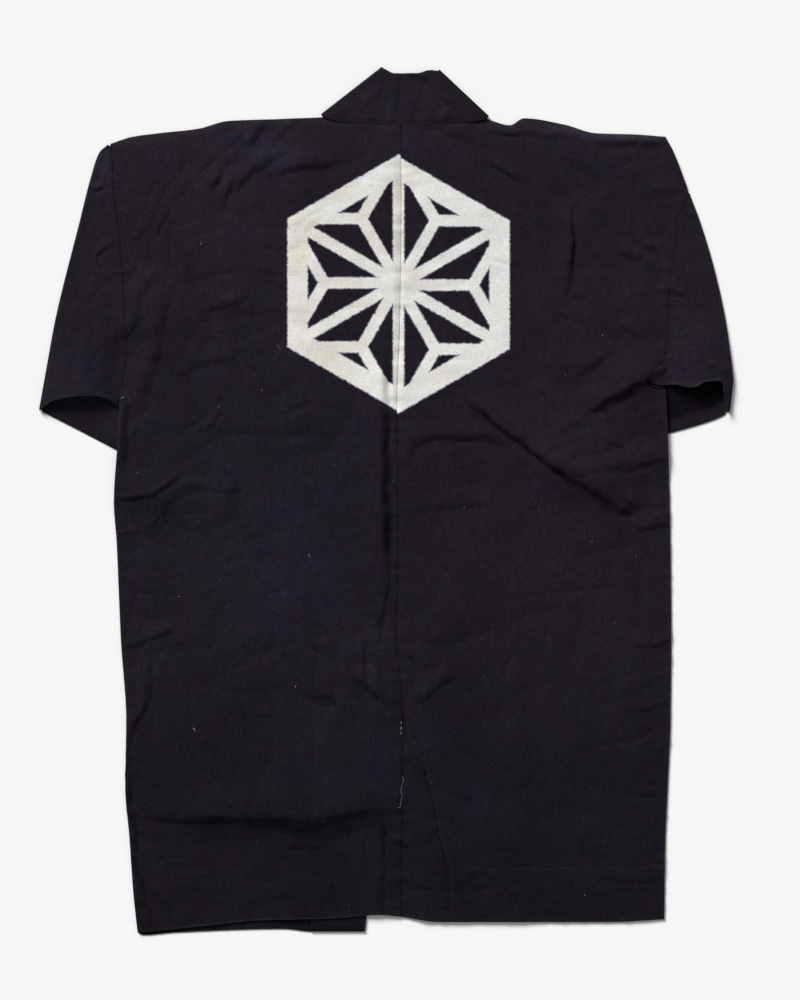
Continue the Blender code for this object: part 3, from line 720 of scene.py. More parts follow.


# %% [markdown]
# ## Tone
#
# Indigo is never one colour. It has bluer and browner places, it rubs pale along folds and edges,
# and on this coat the colour is darker towards the skirt than at the shoulders. Four numbers at each
# point of the cloth carry this to the dye: `blue` and `cast`, from short tables of patches, `worn`,
# which is high close to edges, and `light`, from a table of heights, with painted light and shade.

# %% Bluer and browner places
BLUE_PATCHES = (
    # x, y, half width, half height, strength
    (-328, 386, 12, 24, 1.0),
    (-160, 405, 34, 20, 0.9),
    (-128, 392, 16, 14, 0.8),
    (-345, 140, 30, 26, 0.7),
    (-110, -100, 70, 60, 0.7),
    (-60, 40, 60, 70, 0.35),
    (-20, -310, 40, 34, 0.7),
    (-110, -310, 60, 24, 0.5),
    (95, -352, 28, 30, 0.7),
    (40, -260, 24, 40, 0.5),
    (355, 165, 36, 20, 0.5),
    (160, 422, 60, 8, 0.6),
    (270, 417, 60, 7, 0.6),
    (170, 10, 24, 16, 0.4),
    (225, 385, 26, 20, 0.4),
    (15, 415, 30, 12, 0.5),
)

CASTS = (
    # x, y, half width, half height, how far to slate
    (-170, 0, 150, 200, 0.13),
    (-240, 290, 120, 140, -0.12),
    (-120, -360, 200, 150, 0.10),
    (190, 190, 150, 200, -0.13),
    (190, -60, 150, 140, -0.10),
    (180, -380, 220, 150, 0.12),
)


def patches_at(table, x, y):
    """The strength of a table's soft round patches, added up."""
    return sum(
        strength * np.exp(-(((x - px) / half_width) ** 2) - ((y - py) / half_height) ** 2)
        for px, py, half_width, half_height, strength in table
    )


def blue_at(x, y):
    """How blue the dye is, from 0 to 1."""
    return np.clip(patches_at(BLUE_PATCHES, x, y) * (0.6 + 0.4 * hills(x, y, 24, 31)), 0, 1)


print(len(BLUE_PATCHES), "bluer patches,", len(CASTS), "casts")

# %% [markdown]
# The coat grows darker towards its skirt, and a table of heights says by how much. Patches of painted
# light and shade, with some lighter and darker dye, go over that, and the pressed lines get painted
# shade.

# %% Painted light and shade, and lighter and darker dye
# Patches of painted light where the cloth faces the light and painted shade where it faces away, mixed
# with patches of lighter and darker dye.
LIGHT_SHADE_AND_DYE_PATCHES = (
    # x, y, half width, half height, how much lighter
    (-210, 330, 110, 110, 0.17),
    (-323, 376, 13, 22, 0.3),
    (215, 330, 100, 80, -0.10),
    (205, 421, 60, 9, 0.5),
    (285, 416, 42, 6, 0.5),
    (200, 60, 90, 70, 0.05),
    (95, -20, 60, 50, 0.10),
    (-270, 240, 45, 90, -0.10),
    (-121, 398, 24, 18, 0.15),
    (-166, 412, 22, 18, -0.12),
    (-22, -192, 8, 28, 0.25),
    (-44, -204, 17, 14, -0.15),
    (-49, -339, 32, 22, 0.12),
    (-69, -266, 36, 26, 0.08),
    (-193, -378, 55, 13, -0.12),
    (-98, -386, 44, 16, -0.12),
    (283, -69, 42, 26, -0.08),
    (-220, -440, 110, 50, -0.08),
)

LIGHTNESS = (
    # (y, how light)
    (440, 1.25), (250, 1.20), (60, 1.10), (-100, 1.06), (-220, 0.95), (-330, 0.80), (-480, 0.78),
)
EDGE_WORN = 0.25  # how pale an edge is rubbed
EDGE_REACH = 2.2  # and how far in from it
LINE_PAINTED_SHADE = 0.45  # painted shade in the pressed line of a crease or seam: how much darker it is made


def tone_at(x, y, pressed, edge_gap):
    """The four numbers at each point: the dye, its wear, and painted light and shade."""
    # Edges are paler with wear; pressed lines take a little of that away, as part of their painted shade.
    worn = EDGE_WORN * bell(edge_gap, EDGE_REACH) - 0.05 * pressed
    light = smooth_line(LIGHTNESS, y) * (1 + 0.10 * hills(x, y, 85, 32) + 0.08 * hills(x, y, 28, 33))
    # Patches of painted light and shade, with some of lighter and darker dye.
    light = light * (1 + patches_at(LIGHT_SHADE_AND_DYE_PATCHES, x, y))
    # Painted shade: the pressed lines of creases and seams are made darker.
    light = light * (1 - LINE_PAINTED_SHADE * ease(pressed / 2.2))
    cast = patches_at(CASTS, x, y)
    return {"blue": blue_at(x, y), "cast": cast, "worn": np.clip(worn, 0, 1), "light": light}


down_back = np.arange(-400, 401, 200)
print("light down the back:", tone_at(np.full(5, 100), down_back, 0, 50)["light"].round(2))


# %% [markdown]
# ## The two body halves
#
# One length of cloth goes up the back, over the shoulder and down the front, with no seam at the
# shoulder. So the grid's rows go up the back, round the fold, and down the front, and its columns
# go from the side seam to the centre. The front has no cloth past the band's seam.

# %% Body halves
SHOULDER_STEPS = 6  # rows round the fold at the shoulder
HEM_WEAR_AND_HIGHLIGHT = 1.0  # how pale the left back hem's edge is: partly rubbed wear, partly a painted highlight
FRONT_PAINTED_SHADE = 0.8  # painted shade on the fronts and the shoulder's fold, which lie under the back
FRONT_CREASE = 1.4  # how high the fronts' creases rise off the table
FRONT_HILL = 0.3  # and the cloth between them
CENTRE_STEP = 0.6  # how much lower the right half lies at the centre seam
CENTRE_STEP_RUN = 7.0  # and how far from the seam that fades
CENTRE_PAINTED_SHADOW = 1.2  # painted shadow beside the centre seam, on the right half, which lies lower: how dark it is
SEAM_SHADE = 1.6  # half width of a seam's dark line


def side_rows(half):
    """y of each row at the side edge, from the hem up to where the shoulder's fold starts."""
    stops = half["row_stops"]
    return stations((*stops[:-1], stops[-1] - ROLL), THREAD_STEP)


def front_rise(x, y):
    """Shallow creases on the fronts. They lie on the table, so the cloth can only rise from it."""
    slant = np.abs(np.sin((x * 0.6 + y + 30 * hills(x, y, 90, 41)) / 47))
    deep = np.clip(hills(x, y, 120, 42), 0, 1)
    between = FRONT_HILL * np.clip(hills(x, y, 40, 43), 0, 1)
    return FRONT_CREASE * deep * bell(slant, 0.14) + between


def cut_of(grid, back_rows):
    """Where each point lies on the flat cloth: past the shoulder, the cloth runs on upwards."""
    cut = grid[..., :2].copy()
    step = np.diff(grid[back_rows - 1 :], axis=0)
    cut[back_rows:, :, 1] = cut[back_rows - 1, :, 1] + np.cumsum(np.linalg.norm(step, axis=-1), axis=0)
    return cut


def body_tone(grid, half, pressed):
    """The dye's numbers at each point of a body half, with painted shade along its seams."""
    x, y = np.nan_to_num(grid[..., 0]), np.nan_to_num(grid[..., 1])
    side_gap = np.abs(x - smooth_line(half["side"], y))
    centre_gap = np.abs(x - smooth_line(CENTRE_BACK, y))
    armhole = ease((y - half["tuck"]) / 8)
    # Painted shade along the armhole seam, and a painted shadow beside the centre seam on the right half,
    # which lies lower.
    sewn = half["seam_painted_shade"] * armhole * bell(side_gap, SEAM_SHADE)
    sewn = sewn + CENTRE_PAINTED_SHADOW * bell(centre_gap - 1, SEAM_SHADE) * (half["outward"] > 0)
    hem_gap = np.abs(y - smooth_line(half["hem_back"], x))
    top_gap = np.abs(y - smooth_line(half["top"], x) + ROLL) / 2
    edge_gap = np.minimum(np.minimum(side_gap + 9 * armhole, hem_gap), top_gap)
    return tone_at(x, y, pressed + sewn, edge_gap)


print(len(side_rows(LEFT)), "rows up the left side,", len(side_rows(RIGHT)), "up the right")

# %% [markdown]
# The grid itself comes next: the back, the fold at the shoulder, and the front below it, as one run
# of rows. The front hides under the back, so it takes fewer rows.


# %% Grid of a body half
def body_grid(half):
    """Points, cut and tone of one body half."""
    sign = half["outward"]
    side_y = side_rows(half)
    up = ((side_y - side_y[0]) / (side_y[-1] - side_y[0]))[:, None]
    side_x = (smooth_line(half["side"], side_y) + sign * LAP)[:, None]
    centre_hem = smooth_line(half["hem_back"], CENTRE_BACK[-1][1])
    centre_y = centre_hem + up * (CENTRE_BACK[0][0] + LAP - centre_hem)
    centre_x = smooth_line(CENTRE_BACK, centre_y) - sign * LAP
    corner_x = half["neck_corner"][0] + sign * GAP / 2
    neck = ((corner_x - side_x[-1]) / (centre_x[-1] - side_x[-1]))[0]
    to_corner = math.ceil(abs(corner_x - side_x[-1, 0]) / THREAD_STEP)
    to_centre = math.ceil(abs(centre_x[-1, 0] - corner_x) / THREAD_STEP)
    across = np.concatenate([
        np.linspace(0, neck, to_corner + 1),
        np.linspace(neck, 1, to_centre + 1)[1:],
    ])
    x = side_x + (centre_x - side_x) * across
    top = np.where(
        np.arange(len(across)) <= to_corner,
        smooth_line(half["top"], x[-1]) - ROLL,
        smooth_line(NECK_SEAM, x[-1]) + LAP,
    )
    hem = smooth_line(half["hem_back"], x[0])
    y = hem + (top - hem) * up
    creased, pressed = folded(x, y)
    lower = CENTRE_STEP if sign > 0 else 0
    under = lower * bell(x - smooth_line(CENTRE_BACK, y), CENTRE_STEP_RUN)
    back = np.stack([x, y, back_top(x, y, creased) - under], -1)

    count = to_corner + 1
    front_top = top[:count]
    seam_hem = half["hem_front"][0 if sign > 0 else -1][1]
    seam_y = seam_hem * (1 - up) + front_top[-1] * up
    seam_x = smooth_line(half["band_seam"], seam_y) - sign * LAP
    front_x = side_x + (seam_x - side_x) * across[:count] / neck
    front_hem = smooth_line(half["hem_front"], front_x[0])
    front_y = front_hem + (front_top - front_hem) * up
    front_x[-1], front_y[-1] = x[-1, :count], y[-1, :count]
    calm = ease((1 - up) * 8) * ease(up * 30)
    front_z = front_floor(front_x, front_y) + calm * front_rise(front_x, front_y)
    front = np.stack([front_x, front_y, front_z], -1)
    kept = np.arange(len(side_y) - 1, -1, -round(HIDDEN_STEP / THREAD_STEP))
    front = front[kept]

    blank = np.full((1, len(across) - count, 3), np.nan)
    bends = arcs(back[-1, :count], front[0], (0, 1, 0), np.full(count, ROLL), SHOULDER_STEPS)
    below = [np.concatenate([row[None], blank], 1) for row in [*bends, *front]]
    grid = np.concatenate([back, *below])
    smooth = np.zeros((len(grid) - len(back), len(across)))
    tone = body_tone(grid, half, np.concatenate([pressed, smooth]))
    # A paler line along the left back hem's edge: partly wear, partly a painted highlight.
    tone["worn"][0] += HEM_WEAR_AND_HIGHLIGHT if sign < 0 else 0
    # Painted shade on the shoulder's fold and the fronts, which lie under the back.
    tone["light"][len(back) :] *= FRONT_PAINTED_SHADE
    return grid, cut_of(grid, len(back)), tone


body_left = cloth_piece("body_left_cloth", *body_grid(LEFT), rim_only=True)
body_right = cloth_piece("body_right_cloth", *body_grid(RIGHT), rim_only=True)


# %% [markdown]
# ## The sleeves
#
# A sleeve is one piece of cloth folded along its outer edge, with its cuff left open. It lies folded
# down beside the body, and its underarm corner is tucked below it. So each row of the grid goes
# across the upper layer from the armhole seam, round the outer fold and back across the lower layer.
# The last rows run on at both ends, under the body, to the tucked corner.

# %% Sleeves
SLEEVE_COLUMNS = 40  # across each layer
CUFF_ROWS = 14  # past the armhole's end
TUCK_COLUMNS = 10  # out to the tucked corner
SLEEVE_SHARE = 0.85  # share of the rows that end at the armhole
FOLD_STEPS = 6  # columns round the outer fold
CUFF_OPENS = 0.45  # how far down a sleeve its layers start to part
FOLD_OPENS = 0.5  # and its fold starts to grow rounder
FOLD_RISE = 1.6  # how soon the upper layer is up to the fold's height
CUFF_HEM = 14.0  # width of the cuff's turned hem
SEWN_RUN = 16.0  # how far from the armhole a sleeve still follows the body's height
LETS_GO = 0.9  # and how far down the sleeve, with the share of it over which that ends
LETS_GO_RUN = 0.1


def sleeve_edge(half):
    """Points down the armhole to where the sleeve goes under the body."""
    side_y = side_rows(half)[::-1]
    side_y = side_y[(side_y <= half["sleeve_fold"][0][0]) & (side_y >= half["tuck"] - 1e-6)]
    return np.stack([smooth_line(half["side"], side_y) - half["outward"] * LAP, side_y], -1)


def sleeve_layers(half, down, outer, inner):
    """Points across a sleeve's upper layer and its lower one, in plan, down to the cuff's two edges."""
    across = np.linspace(0, 1, SLEEVE_COLUMNS + 1)[:, None]
    flat = inner[:, None] + (outer[: len(inner), None] - inner[:, None]) * across
    layers = []
    for cuff in (half["cuff_upper"], half["cuff_lower"]):
        cuff_x = cuff[-1][0] + (outer[-1][0] - cuff[-1][0]) * across[:, 0]
        edge = np.stack([cuff_x, smooth_line(cuff, cuff_x)], -1)
        edge[-1] = outer[-1]
        reach = (down[len(inner) :, None, None] - SLEEVE_SHARE) / (1 - SLEEVE_SHARE)
        layers.append(np.concatenate([flat, flat[-1] + (edge - flat[-1]) * reach]))
    return layers


print("the left sleeve is sewn over", round(float(np.ptp(sleeve_edge(LEFT)[:, 1]))), "mm")

# %% [markdown]
# A sleeve's upper layer starts level with the body, so that the seam closes, and climbs towards the
# cuff, whose mouth stands open. The lower layer stays flat on the table.


# %% Height of a sleeve
def sleeve_top(half, down, roll, upper, creased):
    """Height of a sleeve's upper layer: flat at the armhole, open at the cuff."""
    x, y = upper[..., 0], upper[..., 1]
    start = half["mouth_from"]
    opened = np.clip((x - start) / (x[:, -1:] - start), 0, 1)
    level = 2 * CLOTH + GAP
    rise = (2 * roll[:, None] - level) * ease(opened * FOLD_RISE)
    parted = ease((down[:, None] - CUFF_OPENS) / (1 - CUFF_OPENS))
    z = level + rise + MOUTH * parted * np.sin(math.pi * opened) ** 0.8
    armhole = np.abs(x - smooth_line(half["side"], y))
    fold = np.abs(x - smooth_line(half["sleeve_fold"], y))
    hem = y - smooth_line(half["cuff_upper"], x)
    calm = ease(armhole / 12) * ease(fold / 10)
    z = z + ripples(y, armhole, 16, 7, 0.7, 51) * ease(armhole / 4)
    z = z + ripples(y, fold, 14, 10, 0.6, 52) * ease(fold / 6)
    z = z + seam_line(hem - CUFF_HEM, 1.6, 0.4) + ripples(x, np.abs(hem), 10, 9, 0.5, 53)
    z = z + calm * (creased + unevenness(x, y))
    seam_x = smooth_line(half["side"], y[:, :1])
    at_seam = back_top(seam_x, y[:, :1], folded(seam_x, y[:, :1])[0])
    sewn = ease(1 - armhole / SEWN_RUN) * ease((LETS_GO - down[:, None]) / LETS_GO_RUN)
    return z + sewn * (at_seam + half["over"] * LEDGE - z)


print("a cuff's mouth opens by up to", MOUTH, "mm")


# %% [markdown]
# Last, the rows are joined up: tucked corner, upper layer, outer fold, lower layer, tucked corner.
# On the flat cloth the columns past the fold run on outwards, so the weave doesn't double back.


# %% Grid of a sleeve
def tucked_tail(layer, half, height):
    """Columns that carry a layer's last rows on, under the body, to the tucked corner."""
    tail = np.full((len(layer), TUCK_COLUMNS, 3), np.nan)
    first = len(layer) - 1 - CUFF_ROWS
    for j in range(first, len(layer)):
        tucked = (j - first) / CUFF_ROWS
        corner = np.array(half["tucked_corner"]) + np.array(half["corner_blunt"]) * (0.5 - tucked)
        share = (1 - np.arange(TUCK_COLUMNS) / TUCK_COLUMNS)[:, None]
        tail[j] = layer[j, 0] + (np.array([*corner, height]) - layer[j, 0]) * share
    return tail


def sleeve_tone(grid, half, upper, pressed):
    """The dye's numbers at each point of a sleeve, with painted shade along the armhole seam and inside
    the cuff.
    """
    x, y = np.nan_to_num(grid[..., 0]), np.nan_to_num(grid[..., 1])
    fold_gap = np.abs(x - smooth_line(half["sleeve_fold"], y))
    hem_gap = np.abs(y - smooth_line(half["cuff_upper"], x))
    seam_gap = np.abs(upper[..., 0] - smooth_line(half["side"], upper[..., 1]))
    deep = np.zeros(x.shape)
    # Painted shade along the armhole seam.
    sewn = half["seam_painted_shade"] * bell(seam_gap, SEAM_SHADE)
    deep[:, TUCK_COLUMNS : TUCK_COLUMNS + upper.shape[1]] = pressed + sewn
    tone = tone_at(x, y, deep, np.minimum(fold_gap, hem_gap))
    inside = np.zeros(x.shape)
    inside[:, TUCK_COLUMNS + SLEEVE_COLUMNS + FOLD_STEPS - 1 :] = 1
    in_hem = y - smooth_line(half["cuff_lower"], x)
    # Painted shade inside the cuff, under its upper layer; on the left sleeve it is painted light
    # instead.
    tone["light"] = tone["light"] * (1 - half["cuff_painted_shade"] * inside * ease((in_hem - CUFF_HEM) / 3))
    return tone


def sleeve_grid(half):
    """Points, cut and tone of one sleeve."""
    sign = half["outward"]
    inner = sleeve_edge(half)
    down = (inner[0, 1] - inner[:, 1]) / (inner[0, 1] - inner[-1, 1]) * SLEEVE_SHARE
    down = np.concatenate([down, np.linspace(SLEEVE_SHARE, 1, CUFF_ROWS + 1)[1:]])
    roll = ROLL + half["cuff_round"] * ease((down - FOLD_OPENS) / (1 - FOLD_OPENS))
    top_y, tip_y = half["sleeve_fold"][0][0], half["sleeve_fold"][-1][0]
    outer_y = top_y + (tip_y - top_y) * down
    outer = np.stack([smooth_line(half["sleeve_fold"], outer_y) - sign * roll, outer_y], -1)
    upper, lower = sleeve_layers(half, down, outer, inner)
    creased, pressed = folded(upper[..., 0], upper[..., 1])
    top = np.concatenate([upper, sleeve_top(half, down, roll, upper, creased)[..., None]], -1)
    low = np.concatenate([lower, np.zeros((*lower.shape[:2], 1))], -1)
    bends = np.stack(arcs(top[:, -1], low[:, -1], (sign, 0, 0), roll, FOLD_STEPS), 1)

    top_tail = tucked_tail(top, half, 2 * CLOTH + GAP)
    low_tail = tucked_tail(low, half, 0.0)
    grid = np.concatenate([top_tail, top, bends, low[:, ::-1], low_tail[:, ::-1]], 1)

    cut = grid[..., :2].copy()
    turn = TUCK_COLUMNS + SLEEVE_COLUMNS
    step = np.linalg.norm(np.diff(np.nan_to_num(grid[:, turn:]), axis=1), axis=-1)
    cut[:, turn + 1 :, 0] = cut[:, turn : turn + 1, 0] + sign * np.cumsum(step, axis=1)
    return grid, cut, sleeve_tone(grid, half, upper, pressed)


sleeve_left = cloth_piece("sleeve_left_cloth", *sleeve_grid(LEFT))
sleeve_right = cloth_piece("sleeve_right_cloth", *sleeve_grid(RIGHT))


# %% [markdown]
# ## The collar band
#
# The band is one long strip, folded double along its length. It comes up one front, is folded over
# at a slant where it meets the shoulder, crosses behind the neck, and goes down the other front. Its
# middle is sewn together from two lengths, so a seam crosses it behind the neck.

# %% Collar band
BAND_WIDTH = 60.0
BAND_SHELL = 2.2  # its wall as it is drawn, for the doubled cloth
BAND_ROUND = 0.9  # and how much its edges are rounded
BAND_COLUMNS = 22
NECK_STEPS = 66  # rows behind the neck
SLANT_STEPS = 8  # rows round each slanting fold
TIP_INSET = 2.5  # room inside the outline for the round edges of the slanting folds
CORNER_CLEAR = 1.5  # how far past the neck's corner a front band's sewn edge runs
SLANT_RUN = 120.0  # how far down a front band its rows turn from the slant to level
SLANT_ROWS = 110.0  # and where, on the way, there has to be a row
SAG_RISE = 20.0  # run over which the band sinks behind the neck
BEHIND_NECK = 300  # y below which the band gets the fronts' painted shade
COLLAR_CREASES = (
    # points (x, y)                        height, climb, soft side, dip
    (((12, 410), (13, 450), (14, 480), (15, 510)), 0.3, 4, 8, 0.4),
    (((18, 480), (30, 479), (46, 476)), 1.2, 4, 8, 0.9),
    (((46, 428), (50, 437), (56, 446)), 0.5, 3, 6, 0.5),
    (((64, 429), (70, 438), (73, 446)), 0.6, 3, 6, 0.6),
    (((28, 430), (30, 440)), 0.4, 3, 5, 0.3),
    (((52, 462), (66, 452), (84, 440)), 0.6, 6, 9, 0.2),
    (((-30, 446), (-12, 455), (0, 470)), 0.5, 6, 9, 0.1),
)


def front_band(half):
    """The rows of one front band from the neck to the hem."""
    across = np.linspace(0, 1, BAND_COLUMNS + 1)[:, None]
    corner_y = half["neck_corner"][1] + CORNER_CLEAR
    tip_y = half["band_free"][0][0] - TIP_INSET
    hem_y = smooth_line(half["hem_front"], half["band_free"][-1][1])
    seam_y = stations((corner_y, corner_y - SLANT_ROWS, hem_y), HIDDEN_STEP)
    free_y = seam_y + (tip_y - corner_y) * (1 - ease((corner_y - seam_y) / SLANT_RUN))
    seam_x = smooth_line(half["band_seam"], seam_y) + half["outward"] * LAP
    free_x = smooth_line(half["band_free"], free_y)
    seam = np.stack([seam_x, seam_y, np.zeros(len(seam_y))], -1)
    free = np.stack([free_x, free_y, np.zeros(len(seam_y))], -1)
    return seam[:, None] + (free - seam)[:, None] * across


def neck_band(left_front, right_front):
    """The rows of the band behind the neck, in a fan over the two front bands."""
    across = np.linspace(0, 1, BAND_COLUMNS + 1)[:, None]
    share = np.linspace(0, 1, NECK_STEPS + 1)
    seam_x = LEFT["neck_corner"][0] + share * (RIGHT["neck_corner"][0] - LEFT["neck_corner"][0])
    free_x = COLLAR_TOP[0][0] + share * (COLLAR_TOP[-1][0] - COLLAR_TOP[0][0])
    level = np.zeros(len(share))
    seam = np.stack([seam_x, smooth_line(NECK_SEAM, seam_x) - LAP, level], -1)
    free = np.stack([free_x, smooth_line(COLLAR_TOP, free_x) - TIP_INSET, level], -1)
    rows = seam[:, None] + (free - seam)[:, None] * across
    rows[0], rows[-1] = left_front[0], right_front[0]
    x, y = rows[..., 0], rows[..., 1]
    left_tip, right_tip = COLLAR_TOP[0][0] + 2 * TIP_INSET, COLLAR_TOP[-1][0] - 2 * TIP_INSET
    clear = within(x - left_tip, right_tip - x, SAG_RISE)
    z = 2 * BAND + GAP - NECK_SAG * clear
    seam_gap = across[:, 0] * BAND_WIDTH
    calm = ease(share * 6) * ease((1 - share) * 6)
    raised, pressed = all_creases(x, y, COLLAR_CREASES)
    z = z + calm[:, None] * (raised - pressed - 1.2 * wrinkles(1.3 * x, 1.3 * y - 150))
    z = z + calm[:, None] * (unevenness(x, y) + ripples(x, seam_gap, 10, 7, 0.5, 61))
    sewn_down = (0.6 + 1.3 * (1 - clear)) * bell(seam_gap, 6)
    rows[..., 2] = np.maximum(z - sewn_down * calm[:, None], BAND)
    return rows


print("the band behind the neck lies", 2 * BAND + GAP - NECK_SAG, "mm up, at its lowest")

# %% [markdown]
# Where the band turns from a front to the back of the neck, it is folded over on a slant. Rows
# round that edge join the two runs, and then the whole band is one long grid.


# %% Grid of the collar
def slanting_fold(upper, lower, sign):
    """The rows round the folded edge between the part behind the neck and a front band."""
    run = lower[-1] - lower[0]
    outward = np.array([sign * abs(run[1]), abs(run[0]), 0]) / math.hypot(run[0], run[1])
    reach = np.full(len(upper), BAND + GAP / 2)
    return arcs(upper, lower, outward, reach, SLANT_STEPS)


def collar_grid():
    """Points, cut and tone of the band: up the left front, round the neck, down the right front."""
    left_front, right_front = front_band(LEFT), front_band(RIGHT)
    behind = neck_band(left_front, right_front)
    left_fold = slanting_fold(behind[0], left_front[0], -1)
    right_fold = slanting_fold(behind[-1], right_front[0], 1)
    grid = np.stack([*left_front[::-1], *left_fold[::-1], *behind, *right_fold, *right_front])
    middle = grid[:, BAND_COLUMNS // 2]
    along = np.concatenate([[0], np.cumsum(np.linalg.norm(np.diff(middle, axis=0), axis=1))])
    width = np.linspace(0, BAND_WIDTH, BAND_COLUMNS + 1)
    cut = np.stack(np.broadcast_arrays(along[:, None], width[None]), -1).astype(float)
    x, y = grid[..., 0], grid[..., 1]
    edge_gap = np.broadcast_to(BAND_WIDTH - width[None], x.shape)
    tone = tone_at(x, y, np.zeros(x.shape), edge_gap)
    # Painted shade on the band's front lengths, as on the fronts.
    tone["light"] = tone["light"] * np.where(y < BEHIND_NECK, FRONT_PAINTED_SHADE, 1)
    return grid, cut, tone


collar = cloth_piece("collar_band", *collar_grid(), wall=BAND_SHELL, round_edge=BAND_ROUND)


# %% [markdown]
# ## Shader helpers
#
# The dye, the weave and the crest are all worked out from numbers, so most shader nodes here are
# sums. These helpers keep them readable: each makes one node, and takes plain numbers or the outputs
# of other nodes.


# %% Node helpers
def fill(tree, node, values, settings):
    """Set up a new node: its settings, then its inputs, each a plain value or a link."""
    for key, value in settings.items():
        setattr(node, key, value)
    for key, value in dict(values).items():
        if isinstance(value, bpy.types.NodeSocket):
            tree.links.new(value, node.inputs[key])
        else:
            node.inputs[key].default_value = value
    return node


class Cloth:
    """A material with a fresh node tree, and short calls to add nodes to it."""

    def __init__(self, name):
        self.material = bpy.data.materials.new(name)
        self.material.use_nodes = True
        self.tree = self.material.node_tree
        self.tree.nodes.clear()

    def add(self, kind, values=(), **settings):
        """A new shader node, of the kind with this name."""
        return fill(self.tree, self.tree.nodes.new("ShaderNode" + kind), values, settings)

    def calc(self, operation, *values):
        """One sum, worked out at each point of the cloth."""
        return self.add("Math", enumerate(values), operation=operation).outputs[0]

    def step(self, value, low, high):
        """0 below low, 1 above high, and soft between them."""
        limits = {"Value": value, "From Min": low, "From Max": high}
        return self.add("MapRange", limits, interpolation_type="SMOOTHSTEP").outputs[0]

    def noise(self, spot, per_metre, detail=2.0, rough=0.5):
        """Random patches, this many to a metre."""
        settings = {"Vector": spot, "Scale": per_metre, "Detail": detail, "Roughness": rough}
        return self.add("TexNoise", settings).outputs[0]

    def spot(self, u, v, w=0.0):
        """Three numbers as one vector."""
        return self.add("CombineXYZ", {"X": u, "Y": v, "Z": w}).outputs[0]

    def mix(self, share, first, second):
        """Blend two colours, each the output of a node or three numbers."""
        socket = bpy.types.NodeSocket
        first, second = (end if isinstance(end, socket) else (*end, 1) for end in (first, second))
        return self.add("Mix", {0: share, 6: first, 7: second}, data_type="RGBA").outputs[2]

    def finish(self, surface):
        """Close the tree with one surface, and hand over the material."""
        shader = self.add("BsdfPrincipled", surface)
        self.tree.links.new(shader.outputs[0], self.add("OutputMaterial").inputs[0])
        return self.material


# %% [markdown]
# ## The crest
#
# The back carries a large crest. The dyer pastes rice resist on the cloth through a stencil, dips the
# cloth in indigo and washes the paste off, so the crest is the undyed cotton itself. It is not a
# print: its edge follows the threads, and a little blue has crept under it.
#
# The crest here is a plain hemp-leaf pattern in a hexagon, an old pattern that anyone may use. One
# twelfth of it is described, and folding the angle round the centre repeats that twelve times.

# %% Crest pattern
CREST_CENTRE = (0.0123, 0.2476)  # in metres, as all of a material's sizes are
CREST_RADIUS = 0.146  # out to the hexagon's corners
RIM = 0.0235  # width of the outer band
RAY = 0.0066  # half width of the lines inside it
CREST_SLIP = 0.0025  # how much lower the right half was sewn


def crest_gap(cloth, u, v, slip):
    """Distance to the edge of the crest's white, in metres: negative inside the white."""
    x = cloth.calc("SUBTRACT", u, CREST_CENTRE[0])
    y = cloth.calc("SUBTRACT", v, CREST_CENTRE[1] - slip)
    squares = cloth.calc("ADD", cloth.calc("MULTIPLY", x, x), cloth.calc("MULTIPLY", y, y))
    reach = cloth.calc("SQRT", squares)
    turn = cloth.calc("ARCTAN2", x, y)
    sixth = math.pi / 3
    folded = cloth.calc("FLOORED_MODULO", cloth.calc("ADD", turn, sixth / 2), sixth)
    folded = cloth.calc("ABSOLUTE", cloth.calc("SUBTRACT", folded, sixth / 2))
    across = cloth.calc("MULTIPLY", reach, cloth.calc("SINE", folded))
    along = cloth.calc("MULTIPLY", reach, cloth.calc("COSINE", folded))

    def slanted(a, b, c):
        sides = cloth.calc("ADD", cloth.calc("MULTIPLY", across, a), cloth.calc("MULTIPLY", along, b))
        return cloth.calc("SUBTRACT", sides, c)

    sine, cosine = math.sin(sixth), math.cos(sixth)
    outside = slanted(cosine, sine, CREST_RADIUS * sine)
    rim = cloth.calc("MAXIMUM", outside, cloth.calc("SUBTRACT", -RIM, outside))
    past_leaf = slanted(sine, cosine, CREST_RADIUS * cosine)
    spoke = cloth.calc("SUBTRACT", across, RAY)
    leaf = cloth.calc("SUBTRACT", cloth.calc("ABSOLUTE", past_leaf), RAY)
    vein = cloth.calc("SUBTRACT", cloth.calc("ABSOLUTE", slanted(sine, -cosine, 0)), RAY)
    vein = cloth.calc("MAXIMUM", vein, past_leaf)
    rays = cloth.calc("MINIMUM", cloth.calc("MINIMUM", spoke, leaf), vein)
    rays = cloth.calc("MAXIMUM", rays, outside)
    return cloth.calc("MINIMUM", rim, rays)


print("crest", 2 * CREST_RADIUS, "m from corner to corner, its lines", 2 * RAY, "m wide")


# %% [markdown]
# ## Dyed cotton
#
# One recipe makes the dye of all the pieces. A near-black indigo drifts between a mauve and a slate
# cast, goes bluer in the patches and paler where it is worn, and each thread is a little lighter or
# darker than the next, with a few rubbed specks. The weave is a bump of crossed threads 0.8 mm
# apart, broken by uneven thick threads. The surface is rough and hardly shines, with a trace of
# sheen from the loose fibres.

